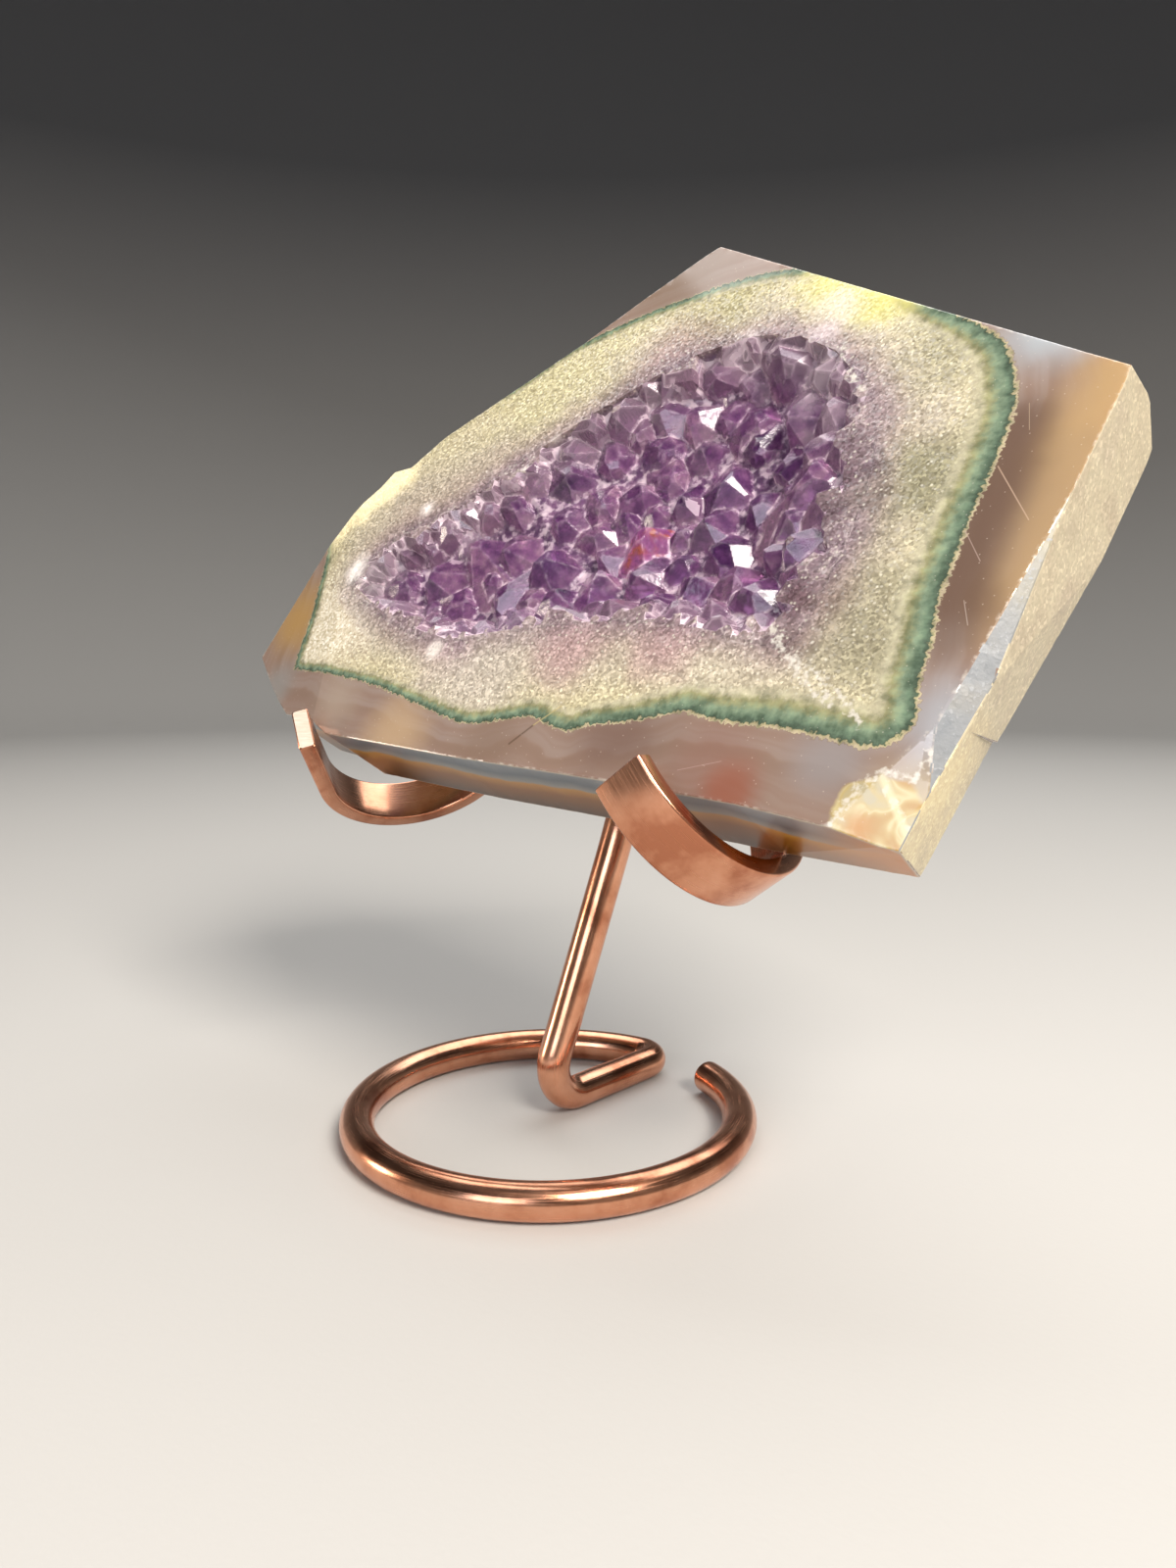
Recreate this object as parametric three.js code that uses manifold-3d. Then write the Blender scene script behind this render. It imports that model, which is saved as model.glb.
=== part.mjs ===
// A polished agate slice with an amethyst hollow, standing on a bent copper stand.
// Millimetres, +Z up. The slab looks towards -Y and leans back over the foot ring.
import * as THREE from 'three';
import { mergeVertices } from 'three/addons/utils/BufferGeometryUtils.js';
import Module from 'manifold-3d';

const wasm = await Module();
wasm.setup();

// Copper rod: foot ring, spoke and stem bent from one quarter-inch round rod
const ROD_RADIUS = 3.175;
const ROD_SIDES = 12;
const RING_RADIUS = 35.75;
const RING_OPEN_END_DEG = 72;
const RING_CORNER_DEG = -266;
const RING_STEP_DEG = 9;
const SPOKE_BEND_RADIUS = 4.2;
const STEM_FOOT = [-2.4, 0.1];
const STEM_BEND_RADIUS = 7;
const STEM_WAIST = [0.3, 18.1, 52];
const STEM_TOP = [2.8, 35, 104];
const STEM_BOW_RADIUS = 120;
const BEND_STEP_RAD = { spoke: 0.3, foot: 0.28, bow: 0.03, hook: 0.16 };

// Copper bar: three eighths by one eighth of an inch, bent the flat way
const BAR_WIDTH = 9.525;
const BAR_THICKNESS = 3.175;
const BAR_CORNER = 0.5;
const HOOK_RADIUS = 19.1;
const CRADLE_APEX = [5.5, 28.1, 101.1];
const CRADLE_YAW = -0.043;
const CRADLE_LEAN = 0.282;
const APEX_OVERLAP = 2;
const RIGHT_ARM = { side: 1, spread: 0.688, run: 50, turn: 2.874, tip: 1.7 };
const LEFT_ARM = { side: -1, spread: 0.856, run: 59.5, turn: 2.336, tip: 16.5 };

// Slab: thickness, lean and turn, and the point of its front face it is measured from
const SLAB_THICKNESS = 18;
const SLAB_LEAN = THREE.MathUtils.degToRad(31.5);
const SLAB_TURN = THREE.MathUtils.degToRad(5.5);
const SLAB_AT = [0, -13.95, 74.3];
const FIT_GAP = 0.3;

// Outline of the slab on its front face, across and up
const SLAB_OUTLINE = [
  [-43.8, -1.2], [-9, -3.8], [25.3, -5.7], [51.7, -7.6], [77.1, -11.0],
  [80.2, 2], [83.2, 16], [87.2, 38.5], [91.7, 61.5], [92.4, 67.3],
  [11.4, 112], [6.4, 109.1], [-5.1, 101], [-18.1, 91.2], [-30.9, 82.9],
  [-47.8, 71.8], [-54.6, 64.6], [-59.6, 63.9], [-62, 60], [-67.9, 53.8], [-72.5, 46.2],
  [-81.5, 18], [-72.4, 10.9], [-66.4, 6.7], [-60.6, 3.2], [-50.5, 1.9],
];

// Facets ground on the slab: two points along the edge where a facet starts, and one further down it,
// each as across, up and out from the front face
const FACETS = {
  topFront: [[10.9, 109.9, 0], [92.1, 64.6, 0], [92.4, 67.3, -9]],
  topBack: [[11.4, 112, -11], [92.4, 67.3, -11], [91.5, 64.8, -18]],
  bottomRight: [[51.7, -7.6, -18], [73.3, -8.7, -18], [77.1, -11, 0]],
  leftUpper: [[-62, 13.7, 0], [-72.5, 46.2, 0], [-81.5, 18, -2.5]],
  leftLower: [[-49, 0.5, 0], [-53, 14, 0], [-72.4, 10.9, -2.6]],
  rightChamfer: [[87.5, 41.5, 0], [77.2, 5.2, 0], [81.3, 5.2, -3.5]],
  cornerFront: [[76.6, 5.2, 0], [68, -7, 0], [76.5, -10, -4]],
  rightSide: [[88.5, 45, -18], [82.9, 14, -2], [79.7, 14, -18]],
};
const STEP_ON_THE_SIDE = [[78.9, 13.6, -18], [80.9, 7.4, -3], [73.3, -8.8, -18]];

// Outline of the crystal hollow on the front face
const HOLLOW_OUTLINE = [
  [-56, 34], [-52, 42.5], [-43.9, 47.7], [-33.2, 52.2], [-23.5, 60.5], [-6.8, 71.8],
  [11.4, 81.9], [23.5, 84.5], [33.5, 83.4], [43.5, 77.3], [52, 67.3], [56.4, 52],
  [55.7, 36.4], [52.3, 20.5], [46, 19.9], [25.8, 24], [2.5, 23.4], [-21, 20.3], [-38, 24.5],
];

// The bowl under the hollow: two flattened balls, [across, up, half widths, depth]
const BOWLS = [
  { across: 22, up: 50, halfWidth: 46, halfHeight: 42, depth: 11 },
  { across: -24, up: 37, halfWidth: 40, halfHeight: 24, depth: 8.5 },
];
const BOWL_RIM = 1.2;
const BOWL_SEGMENTS = [20, 12];
const CUT_PAST_FACE = 5;
const HOLLOW_CENTRE = [8, 50];

// Crystals: spacing, size and how far they lean, and the corner of the field they are set out in
const CRUST_THICKNESS = 3;
const CRUST_INSET = 0.985;
const CRYSTAL_SPACING = 7.8;
const CRYSTAL_ROWS = 14;
const CRYSTAL_COLUMNS = 20;
const FIELD_CORNER = [-60, 17];
const ROW_PITCH = 0.78;
const LEAST_BOWL_DEPTH = 2;
const CRYSTAL_RADIUS = { least: 2.9, spread: 1.9 };
const CRYSTAL_STEEPNESS = 1.15;
const CRYSTAL_ROOT = 1.6;
const CRYSTAL_LIFT = 1.2;
const CRYSTAL_TILT = 0.7;
const LEAN_TO_CENTRE = 0.006;

// Joining and cutting
function toSolid(geometry) {
  const bare = geometry.index ? geometry.toNonIndexed() : geometry.clone();
  bare.deleteAttribute('normal');
  bare.deleteAttribute('uv');
  const merged = mergeVertices(bare, 1e-4);
  return new wasm.Manifold(new wasm.Mesh({
    numProp: 3,
    vertProperties: new Float32Array(merged.attributes.position.array),
    triVerts: new Uint32Array(merged.index.array),
  }));
}

function toGeometry(solid) {
  const mesh = solid.getMesh();
  const geometry = new THREE.BufferGeometry();
  geometry.setAttribute('position', new THREE.BufferAttribute(mesh.vertProperties, 3));
  geometry.setIndex(new THREE.BufferAttribute(mesh.triVerts, 1));
  return geometry;
}

// The outer surface alone, without the small closed gaps left between joined pieces
function withoutPockets(solid) {
  return solid.decompose().reduce((best, part) => (part.volume() > best.volume() ? part : best));
}

function shapeOf(points) {
  return new THREE.Shape(points.map(([x, y]) => new THREE.Vector2(x, y)));
}

function prism(points, from, to) {
  const geometry = new THREE.ExtrudeGeometry(shapeOf(points), { depth: to - from, bevelEnabled: false });
  geometry.translate(0, 0, from);
  return geometry;
}

// A block that starts at the edge a-b and removes all that stands in front of the plane a, b, c
function groundAway(a, b, c, behindEdge = 60) {
  const reach = 200;
  const start = new THREE.Vector3(...a);
  const along = new THREE.Vector3(...b).sub(start).normalize();
  const inward = new THREE.Vector3(...c).sub(start);
  inward.addScaledVector(along, -inward.dot(along)).normalize();
  const out = new THREE.Vector3().crossVectors(along, inward);
  const block = new THREE.BoxGeometry(2 * reach, reach + behindEdge, reach);
  block.translate(0, (reach - behindEdge) / 2, reach / 2);
  block.applyMatrix4(new THREE.Matrix4().makeBasis(along, inward, out));
  block.translate(start.x, start.y, start.z);
  return toSolid(block);
}

// A path given by its stations, so that they can stand closer together in the bends
class StationPath extends THREE.Curve {
  constructor(stations) {
    super();
    this.stations = stations;
  }

  getPoint(t) {
    const last = this.stations.length - 1;
    return this.stations[Math.round(t * last)].clone();
  }

  getPointAt(u) {
    return this.getPoint(u);
  }

  getTangentAt(u) {
    const last = this.stations.length - 1;
    const here = Math.round(u * last);
    const before = this.stations[Math.max(here - 1, 0)];
    const after = this.stations[Math.min(here + 1, last)];
    return after.clone().sub(before).normalize();
  }
}

function sweep(stations, section) {
  return new THREE.ExtrudeGeometry(shapeOf(section), {
    steps: stations.length - 1,
    extrudePath: new StationPath(stations),
    bevelEnabled: false,
  });
}

// Stations of a round bend that replaces the corner between two straight runs
function bend(before, corner, after, radius, stepRad) {
  const inbound = corner.clone().sub(before).normalize();
  const outbound = after.clone().sub(corner).normalize();
  const turn = inbound.angleTo(outbound);
  const setback = radius * Math.tan(turn / 2);
  const start = corner.clone().addScaledVector(inbound, -setback);
  const toCentre = outbound.clone().addScaledVector(inbound, -outbound.dot(inbound)).normalize();
  const count = Math.max(2, Math.ceil(turn / stepRad));
  const stations = [];
  for (let i = 0; i <= count; i += 1) {
    const angle = (turn * i) / count;
    stations.push(start.clone()
      .addScaledVector(inbound, radius * Math.sin(angle))
      .addScaledVector(toCentre, radius * (1 - Math.cos(angle))));
  }
  return stations;
}

// Foot ring, spoke and stem
function rodStations() {
  const onRing = (deg) => {
    const angle = THREE.MathUtils.degToRad(deg);
    return new THREE.Vector3(RING_RADIUS * Math.cos(angle), RING_RADIUS * Math.sin(angle), ROD_RADIUS);
  };
  const corner = onRing(RING_CORNER_DEG);
  const foot = new THREE.Vector3(STEM_FOOT[0], STEM_FOOT[1], ROD_RADIUS);
  const waist = new THREE.Vector3(...STEM_WAIST);
  const top = new THREE.Vector3(...STEM_TOP);
  const lastOnRing = onRing(RING_CORNER_DEG + RING_STEP_DEG);
  const stations = [];
  for (let deg = RING_OPEN_END_DEG; deg > RING_CORNER_DEG + RING_STEP_DEG; deg -= RING_STEP_DEG) {
    stations.push(onRing(deg));
  }
  stations.push(...bend(lastOnRing, corner, foot, SPOKE_BEND_RADIUS, BEND_STEP_RAD.spoke));
  stations.push(...bend(corner, foot, waist, STEM_BEND_RADIUS, BEND_STEP_RAD.foot));
  stations.push(...bend(foot, waist, top, STEM_BOW_RADIUS, BEND_STEP_RAD.bow));
  stations.push(top);
  return stations;
}

function rodSection() {
  const cornerRadius = ROD_RADIUS / Math.cos(Math.PI / ROD_SIDES);
  const section = [];
  for (let i = 0; i < ROD_SIDES; i += 1) {
    const angle = ((i + 0.5) * 2 * Math.PI) / ROD_SIDES;
    section.push([cornerRadius * Math.cos(angle), cornerRadius * Math.sin(angle)]);
  }
  return section;
}

// One arm of the cradle, in the plane of both arms: straight run, hook and tip
function armStations(arm) {
  const stations = [new THREE.Vector3(-APEX_OVERLAP, 0, 0), new THREE.Vector3(arm.run, 0, 0)];
  const count = Math.ceil(arm.turn / BEND_STEP_RAD.hook);
  for (let i = 1; i <= count; i += 1) {
    const angle = (arm.turn * i) / count;
    stations.push(new THREE.Vector3(
      arm.run + HOOK_RADIUS * Math.sin(angle),
      HOOK_RADIUS * (1 - Math.cos(angle)),
      0,
    ));
  }
  const last = stations[stations.length - 1];
  const heading = new THREE.Vector3(Math.cos(arm.turn), Math.sin(arm.turn), 0);
  stations.push(last.clone().addScaledVector(heading, arm.tip));
  return stations;
}

function barSection() {
  const w = BAR_WIDTH / 2;
  const t = BAR_THICKNESS / 2;
  const c = BAR_CORNER;
  return [
    [w, -t + c], [w, t - c], [w - c, t], [-w + c, t],
    [-w, t - c], [-w, -t + c], [-w + c, -t], [w - c, -t],
  ];
}

function armSolid(arm) {
  const geometry = sweep(armStations(arm), barSection());
  geometry.rotateX(Math.PI / 2);
  geometry.rotateZ(-Math.PI / 2 + arm.side * arm.spread);
  return toSolid(geometry);
}

function cradleGeometry() {
  return toGeometry(armSolid(RIGHT_ARM).add(armSolid(LEFT_ARM)));
}

// Slab: sawn block, ground facets, chips and the hollow
function bowlSolid(shrink, lift) {
  const balls = BOWLS.map((bowl) => {
    const ball = new THREE.SphereGeometry(1, ...BOWL_SEGMENTS);
    ball.scale(bowl.halfWidth - shrink, bowl.halfHeight - shrink, bowl.depth + BOWL_RIM - shrink);
    ball.translate(bowl.across, bowl.up, BOWL_RIM + lift);
    return toSolid(ball);
  });
  return balls[0].add(balls[1]);
}

function slabGeometry() {
  let slab = toSolid(prism(SLAB_OUTLINE, -SLAB_THICKNESS, 0));
  for (const [a, b, c] of Object.values(FACETS)) {
    slab = slab.subtract(groundAway(a, b, c));
  }
  slab = slab.subtract(groundAway(...STEP_ON_THE_SIDE, 0));
  const hollow = toSolid(prism(HOLLOW_OUTLINE, -SLAB_THICKNESS, CUT_PAST_FACE)).intersect(bowlSolid(0, 0));
  return toGeometry(slab.subtract(hollow));
}

// Crust of crystals in the hollow
function unevenness(i, j, k) {
  const wave = Math.sin(i * 127.1 + j * 311.7 + k * 74.7) * 43758.5453;
  return wave - Math.floor(wave);
}

function crystal(radius, tipHeight, rootDepth) {
  const profile = [
    new THREE.Vector2(0, -rootDepth),
    new THREE.Vector2(radius, -rootDepth),
    new THREE.Vector2(radius, 0),
    new THREE.Vector2(0, tipHeight),
  ];
  return new THREE.LatheGeometry(profile, 6).rotateX(Math.PI / 2);
}

function bowlDepthAt(across, up) {
  let depth = 0;
  for (const bowl of BOWLS) {
    const x = (across - bowl.across) / bowl.halfWidth;
    const y = (up - bowl.up) / bowl.halfHeight;
    const room = 1 - x * x - y * y;
    if (room > 0) {
      depth = Math.max(depth, (bowl.depth + BOWL_RIM) * Math.sqrt(room) - BOWL_RIM);
    }
  }
  return depth;
}

// One crystal of the field, leaning towards the middle of the hollow, or null where the bowl is too shallow
function crystalAt(row, column) {
  const rough = (k) => unevenness(row, column, k);
  const across = FIELD_CORNER[0] + (column + 0.5 * (row % 2) + 0.5 * rough(1)) * CRYSTAL_SPACING;
  const up = FIELD_CORNER[1] + (row + 0.5 * rough(2)) * CRYSTAL_SPACING * ROW_PITCH;
  const depth = bowlDepthAt(across, up);
  if (depth < LEAST_BOWL_DEPTH) {
    return null;
  }
  const radius = CRYSTAL_RADIUS.least + CRYSTAL_RADIUS.spread * rough(3);
  const geometry = crystal(radius, radius * CRYSTAL_STEEPNESS, CRYSTAL_ROOT);
  geometry.rotateZ(Math.PI * rough(4));
  geometry.rotateX(CRYSTAL_TILT * (rough(5) - 0.5) + LEAN_TO_CENTRE * (up - HOLLOW_CENTRE[1]));
  geometry.rotateY(CRYSTAL_TILT * (rough(6) - 0.5) - LEAN_TO_CENTRE * (across - HOLLOW_CENTRE[0]));
  geometry.translate(across, up, CRUST_THICKNESS - depth + CRYSTAL_LIFT * rough(7));
  return toSolid(geometry);
}

function crustGeometry() {
  const inner = HOLLOW_OUTLINE.map(([x, y]) => [
    HOLLOW_CENTRE[0] + (x - HOLLOW_CENTRE[0]) * CRUST_INSET,
    HOLLOW_CENTRE[1] + (y - HOLLOW_CENTRE[1]) * CRUST_INSET,
  ]);
  const room = toSolid(prism(inner, -SLAB_THICKNESS, 0)).intersect(bowlSolid(FIT_GAP, 0));
  let crust = room.subtract(bowlSolid(FIT_GAP, CRUST_THICKNESS));
  for (let row = 0; row < CRYSTAL_ROWS; row += 1) {
    for (let column = 0; column < CRYSTAL_COLUMNS; column += 1) {
      const solid = crystalAt(row, column);
      crust = solid ? crust.add(solid) : crust;
    }
  }
  return toGeometry(withoutPockets(crust.intersect(room)));
}

// Assembly
function piece(name, geometry, colour, roughness, metalness) {
  const material = new THREE.MeshStandardMaterial({ color: colour, roughness, metalness });
  const mesh = new THREE.Mesh(geometry, material);
  mesh.name = name;
  return mesh;
}

const rod = piece('base_ring_and_stem', sweep(rodStations(), rodSection()), 0xc07a5c, 0.25, 1);

const arms = piece('cradle_arms', cradleGeometry(), 0xbd7352, 0.22, 1);
const cradle = new THREE.Group();
cradle.position.set(...CRADLE_APEX);
cradle.rotation.set(Math.PI / 2 - CRADLE_LEAN, 0, CRADLE_YAW, 'ZYX');
cradle.add(arms);

const stone = new THREE.Group();
stone.position.set(...SLAB_AT);
stone.rotation.set(Math.PI / 2 - SLAB_LEAN, 0, SLAB_TURN, 'ZYX');
stone.add(piece('agate_slab', slabGeometry(), 0xb9a79a, 0.15, 0));
stone.add(piece('amethyst_crust', crustGeometry(), 0x6f4a8e, 0.2, 0));

const object = new THREE.Group();
object.add(rod, cradle, stone);

// The frame's origin: under the middle of the whole, on the surface it stands on
const extent = new THREE.Box3().setFromObject(object, true);
const middle = extent.getCenter(new THREE.Vector3());
object.position.set(-middle.x, -middle.y, -extent.min.z);

export default object;
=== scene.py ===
import math

import bmesh
import bpy
import numpy as np
from mathutils import Matrix, Vector, noise


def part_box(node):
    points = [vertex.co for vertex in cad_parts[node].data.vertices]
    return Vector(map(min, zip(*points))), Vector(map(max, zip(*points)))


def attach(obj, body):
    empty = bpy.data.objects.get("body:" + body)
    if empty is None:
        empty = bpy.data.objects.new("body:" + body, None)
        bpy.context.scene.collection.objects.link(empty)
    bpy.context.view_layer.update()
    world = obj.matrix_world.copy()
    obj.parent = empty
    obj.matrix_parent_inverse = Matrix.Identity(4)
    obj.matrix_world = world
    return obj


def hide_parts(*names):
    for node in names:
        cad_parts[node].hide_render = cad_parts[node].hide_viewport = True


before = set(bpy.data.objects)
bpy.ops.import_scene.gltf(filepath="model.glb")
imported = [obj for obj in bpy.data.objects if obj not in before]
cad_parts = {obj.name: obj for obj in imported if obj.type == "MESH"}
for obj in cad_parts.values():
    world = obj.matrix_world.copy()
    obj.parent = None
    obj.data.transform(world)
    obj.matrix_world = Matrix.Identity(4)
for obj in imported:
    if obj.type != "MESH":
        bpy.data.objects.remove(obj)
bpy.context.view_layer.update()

# A thick agate slice with an amethyst hollow, leaning in a bent copper stand.
# Lengths are millimetres, and each finished mesh is scaled to metres by MM.
MM = 0.001
WELD = 0.002
SHARP_FROM_DEG = 32

# Copper rod: foot ring, spoke and stem
ROD_RADIUS = 3.175
RING_RADIUS = 35.75
RING_OPEN_END_DEG = 72
RING_CORNER_DEG = -266
SPOKE_BEND_RADIUS = 4.2
STEM_FOOT = (-2.4, 0.1)
STEM_BEND_RADIUS = 7
STEM_WAIST = (0.3, 18.1, 52)
STEM_TOP = (2.8, 35, 104)
STEM_BOW_RADIUS = 120

# Copper bar: two hooked arms that meet behind the stone
BAR_WIDTH = 9.525
BAR_THICKNESS = 3.175
BAR_CORNER = 0.5
HOOK_RADIUS = 19.1
CRADLE_APEX = (5.5, 28.1, 101.1)
CRADLE_YAW = -0.043
CRADLE_LEAN = 0.282
APEX_OVERLAP = 2
RIGHT_ARM = {"side": 1, "spread": 0.688, "run": 50, "turn": 2.874, "tip": 1.7}
LEFT_ARM = {"side": -1, "spread": 0.856, "run": 59.5, "turn": 2.336, "tip": 16.5}

# Stone: how it stands, and the place on its face that across, up and out are measured from
SLAB_LEAN = math.radians(31.5)
SLAB_TURN = math.radians(5.5)
SLAB_AT = (0, -13.95, 74.3)
ARRIS = 0.35
FACE_CELL = 1.25
SIDE_CELL = 3

# Outer line of the green rind on the face; it leaves the stone at the top and at the left end
RIND_OUTLINE = [
    (-65, 15.4), (-62.6, 14), (-49, 12), (-36, 10), (-23, 6.6), (-11, 3.4), (-6, 2.8), (-1.5, 3.4), (7, 4.8),
    (12, 3.3), (16.5, 2.5), (20, 3.7), (28, 4.8), (34.6, 6.4), (38, 7), (42, 6), (46, 5.5), (55, 5),
    (63.5, 3.6), (69.5, 2.7), (72.5, 4), (74.6, 7), (73.8, 13), (74, 20), (73.4, 26), (74, 32), (74.8, 40),
    (76, 48), (77, 58), (76.3, 64), (73.3, 72), (70, 75.6), (66, 79), (58, 84.5), (50, 91), (40, 97),
    (30, 99.4), (22.5, 100.2), (14, 99.7), (5.7, 98.1), (-3, 96.4), (-12, 93.8), (-21, 90.5), (-27, 86.5),
    (-33, 82.5), (-44, 79), (-58, 73), (-72, 66), (-79, 56), (-73.6, 48), (-71, 42), (-68.7, 34),
    (-67, 27.7), (-66, 21.5),
]

# Crystal hollow: its outline on the face and the bowl under it, as in the solid
HOLLOW_OUTLINE = [
    (-56, 34), (-52, 42.5), (-43.9, 47.7), (-33.2, 52.2), (-23.5, 60.5), (-6.8, 71.8),
    (11.4, 81.9), (23.5, 84.5), (33.5, 83.4), (43.5, 77.3), (52, 67.3), (56.4, 52),
    (55.7, 36.4), (52.3, 20.5), (46, 19.9), (25.8, 24), (2.5, 23.4), (-21, 20.3), (-38, 24.5),
]
BOWLS = [
    {"across": 22, "up": 50, "half_width": 46, "half_height": 42, "depth": 11},
    {"across": -24, "up": 37, "half_width": 40, "half_height": 24, "depth": 8.5},
]
BOWL_RIM = 1.2
CRUST_THICKNESS = 3
FIT_GAP = 0.3

# Crystals: the largest where they stand in the stone (across, up, half width), then the range of the rest
CRYSTAL_CELL = 0.38
LARGE_CRYSTALS = [
    (11, 46, 4.8), (-8, 40, 6.2), (26, 57, 5.6), (27, 70, 4.8), (37, 67, 5.4), (34, 36, 4.7),
    (41, 30, 3.6), (-37, 38, 5), (-29, 45, 5.2), (-20, 52, 5), (-9, 51, 4.4), (5, 37, 4),
    (-2, 32, 4), (36, 58, 4), (17, 79, 4.4), (9, 66, 5), (-3, 64, 4.6), (6, 57, 3.8),
    (13, 72, 4), (0, 47, 3.8), (21, 41, 4.2), (-51, 40, 3), (-1, 72, 3.4), (34, 78, 4),
]
SMALLEST_CRYSTAL = 1
SHALLOW_CRYSTAL = 1.9
DEEP_CRYSTAL = 4.4
STEEP_FACES = 6
STEEP_FACE_DEG = 44
CAP_FACES = 3
CAP_FACE_DEG = 20
CRYSTAL_SEED = 7
PINK_CRYSTAL = (11, 46)
PINK_REACH = 3.5
# Crystal faces given a painted highlight, paler, rougher and less clear: across, up, and how far it reaches
PAINTED_HIGHLIGHT_FACES = [
    (33, 68, 2.8), (32.2, 39.6, 1.4), (34.9, 30.9, 1.5), (17.9, 53, 1.4), (2.5, 59.8, 1.4), (2, 67.5, 1.4),
    (-35.5, 43.2, 1.3), (-52, 41, 1.6), (38, 77, 1.3),
]

# Rough white cracks in the face, as across and up
FROST_LINES = [
    [(41, 37), (44, 31), (46, 26), (49, 21), (52, 18), (58, 14), (63, 10), (67, 6)],
    [(47, 24), (51, 17.5), (55, 14.5), (57, 12), (62, 9)],
    [(66.6, -9.8), (68, -6), (69.6, -2.5), (72.6, -0.8), (76.6, -0.5), (77.7, 3.2), (81, 7), (82, 12)],
    [(71.7, -1.1), (74.4, -5), (77, -8.5), (78.2, -10.8)],
    [(38.6, 55.9), (43.7, 58.9), (47.4, 62.6), (48.6, 66)],
    [(43.1, 45.7), (41.3, 54.8)],
    [(44.8, 80.1), (45.2, 74.3), (50.9, 67.4)],
]

# Hairlines in the polish, and two veins in the corner's facet: start, end, half width in mm, colour
HAIRLINES = [
    ((76.8, 48.9, 0), (83.1, 39, 0), 0.13, "#b79f8a"),
    ((74.6, 37.7, 0), (77.8, 32.5, 0), 0.1, "#a8948a"),
    ((79, 60, 0), (80, 55, 0), 0.08, "#a8947c"),
    ((77, 26, 0), (78.4, 22, 0), 0.1, "#a89a90"),
    ((-53.3, 13, 0), (-57, 2, 0), 0.2, "#b8ae9e"),
    ((4.8, -0.6, 0), (8.6, 3.2, 0), 0.3, "#4a3828"),
    ((8.6, 3.2, 0), (13, 7, 0), 0.22, "#b0a070"),
    ((-68, 11.4, 0), (-61, 10, 0), 0.2, "#5b5042"),
    ((40, -3, 0), (47, -1, 0), 0.1, "#a48c84"),
    ((72.2, -1.6, -0.2), (77.3, -10.2, -4.3), 0.8, "#c9c29e"),
    ((80, -0.5, -2.8), (77.9, -10, -4.5), 0.5, "#c2bfb4"),
]

# Camera, from the ring's centre, fitted to the ring's and the slab's outlines
CAMERA_AT = (146.8, -142.5, 90.1)
CAMERA_LOOKS = (-0.687, 0.7165, -0.1206)
CAMERA_LENS = 25.875
FILM_LONG_SIDE = 36

rod_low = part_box("base_ring_and_stem")[0]
RING_REACH = (RING_RADIUS + ROD_RADIUS) * MM
RING_FRAME = Matrix.Translation((rod_low.x + RING_REACH, rod_low.y + RING_REACH, 0)) @ Matrix.Scale(MM, 4)
SLAB_FRAME = (
    RING_FRAME
    @ Matrix.Translation(SLAB_AT)
    @ Matrix.Rotation(SLAB_TURN, 4, "Z")
    @ Matrix.Rotation(math.pi / 2 - SLAB_LEAN, 4, "X")
)
CRADLE_FRAME = (
    RING_FRAME
    @ Matrix.Translation(CRADLE_APEX)
    @ Matrix.Rotation(CRADLE_YAW, 4, "Z")
    @ Matrix.Rotation(math.pi / 2 - CRADLE_LEAN, 4, "X")
)


# Material tools
def linear(code):
    """An sRGB hex colour as linear RGBA."""
    parts = [int(code[i:i + 2], 16) / 255 for i in (1, 3, 5)]
    return [p / 12.92 if p <= 0.04045 else ((p + 0.055) / 1.055) ** 2.4 for p in parts] + [1.0]


def add(tree, kind, inputs=(), stops=(), size=None, **settings):
    """Adds one node with its settings, the stops of its ramp as (place, hex) and the size of its pattern.

    Its inputs are given by name or in the node's own order. Each is a value, a hex colour, a socket, or a
    node, whose first live output is meant.
    """
    made = tree.nodes.new("ShaderNode" + kind)
    for name, value in settings.items():
        setattr(made, name, value)
    for number, (place, code) in enumerate(stops):
        ramp = made.color_ramp.elements
        stop = ramp[number] if number < 2 else ramp.new(place)
        stop.position = place
        stop.color = linear(code)
    if size:
        made.inputs["Scale"].default_value = 1 / size
    if isinstance(inputs, dict):
        pairs = [(made.inputs[name], value) for name, value in inputs.items()]
    else:
        pairs = zip([socket for socket in made.inputs if socket.enabled], inputs)
    for socket, value in pairs:
        if isinstance(value, bpy.types.Node):
            value = next(output for output in value.outputs if output.enabled)
        if isinstance(value, bpy.types.NodeSocket):
            tree.links.new(value, socket)
        else:
            socket.default_value = linear(value) if isinstance(value, str) else value
    return made


def finished(make):
    """The material of one finish, named for it, from the shaders that the finish adds to an empty tree."""
    material = bpy.data.materials.new(make.__name__)
    material.use_nodes = True
    material.node_tree.nodes.clear()
    add(material.node_tree, "OutputMaterial", make(material.node_tree))
    return material


# Mesh tools
def make_object(name, mesh, materials, smooth):
    """Turns a bmesh into an object of the scene."""
    data = bpy.data.meshes.new(name)
    mesh.to_mesh(data)
    mesh.free()
    data.polygons.foreach_set("use_smooth", [smooth] * len(data.polygons))
    for material in materials:
        data.materials.append(material)
    made = bpy.data.objects.new(name, data)
    bpy.context.scene.collection.objects.link(made)
    return made


def make_piece(name, mesh, to_row_frame, materials, node, smooth=False):
    """Turns a bmesh in millimetres into a shown piece that rides on the stand and stands for its CAD node."""
    mesh.transform(to_row_frame)
    piece = make_object(name, mesh, materials, smooth)
    if smooth:
        piece.data.set_sharp_from_angle(angle=math.radians(SHARP_FROM_DEG))
    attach(piece, "root")
    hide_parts(node)
    return piece


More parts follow.
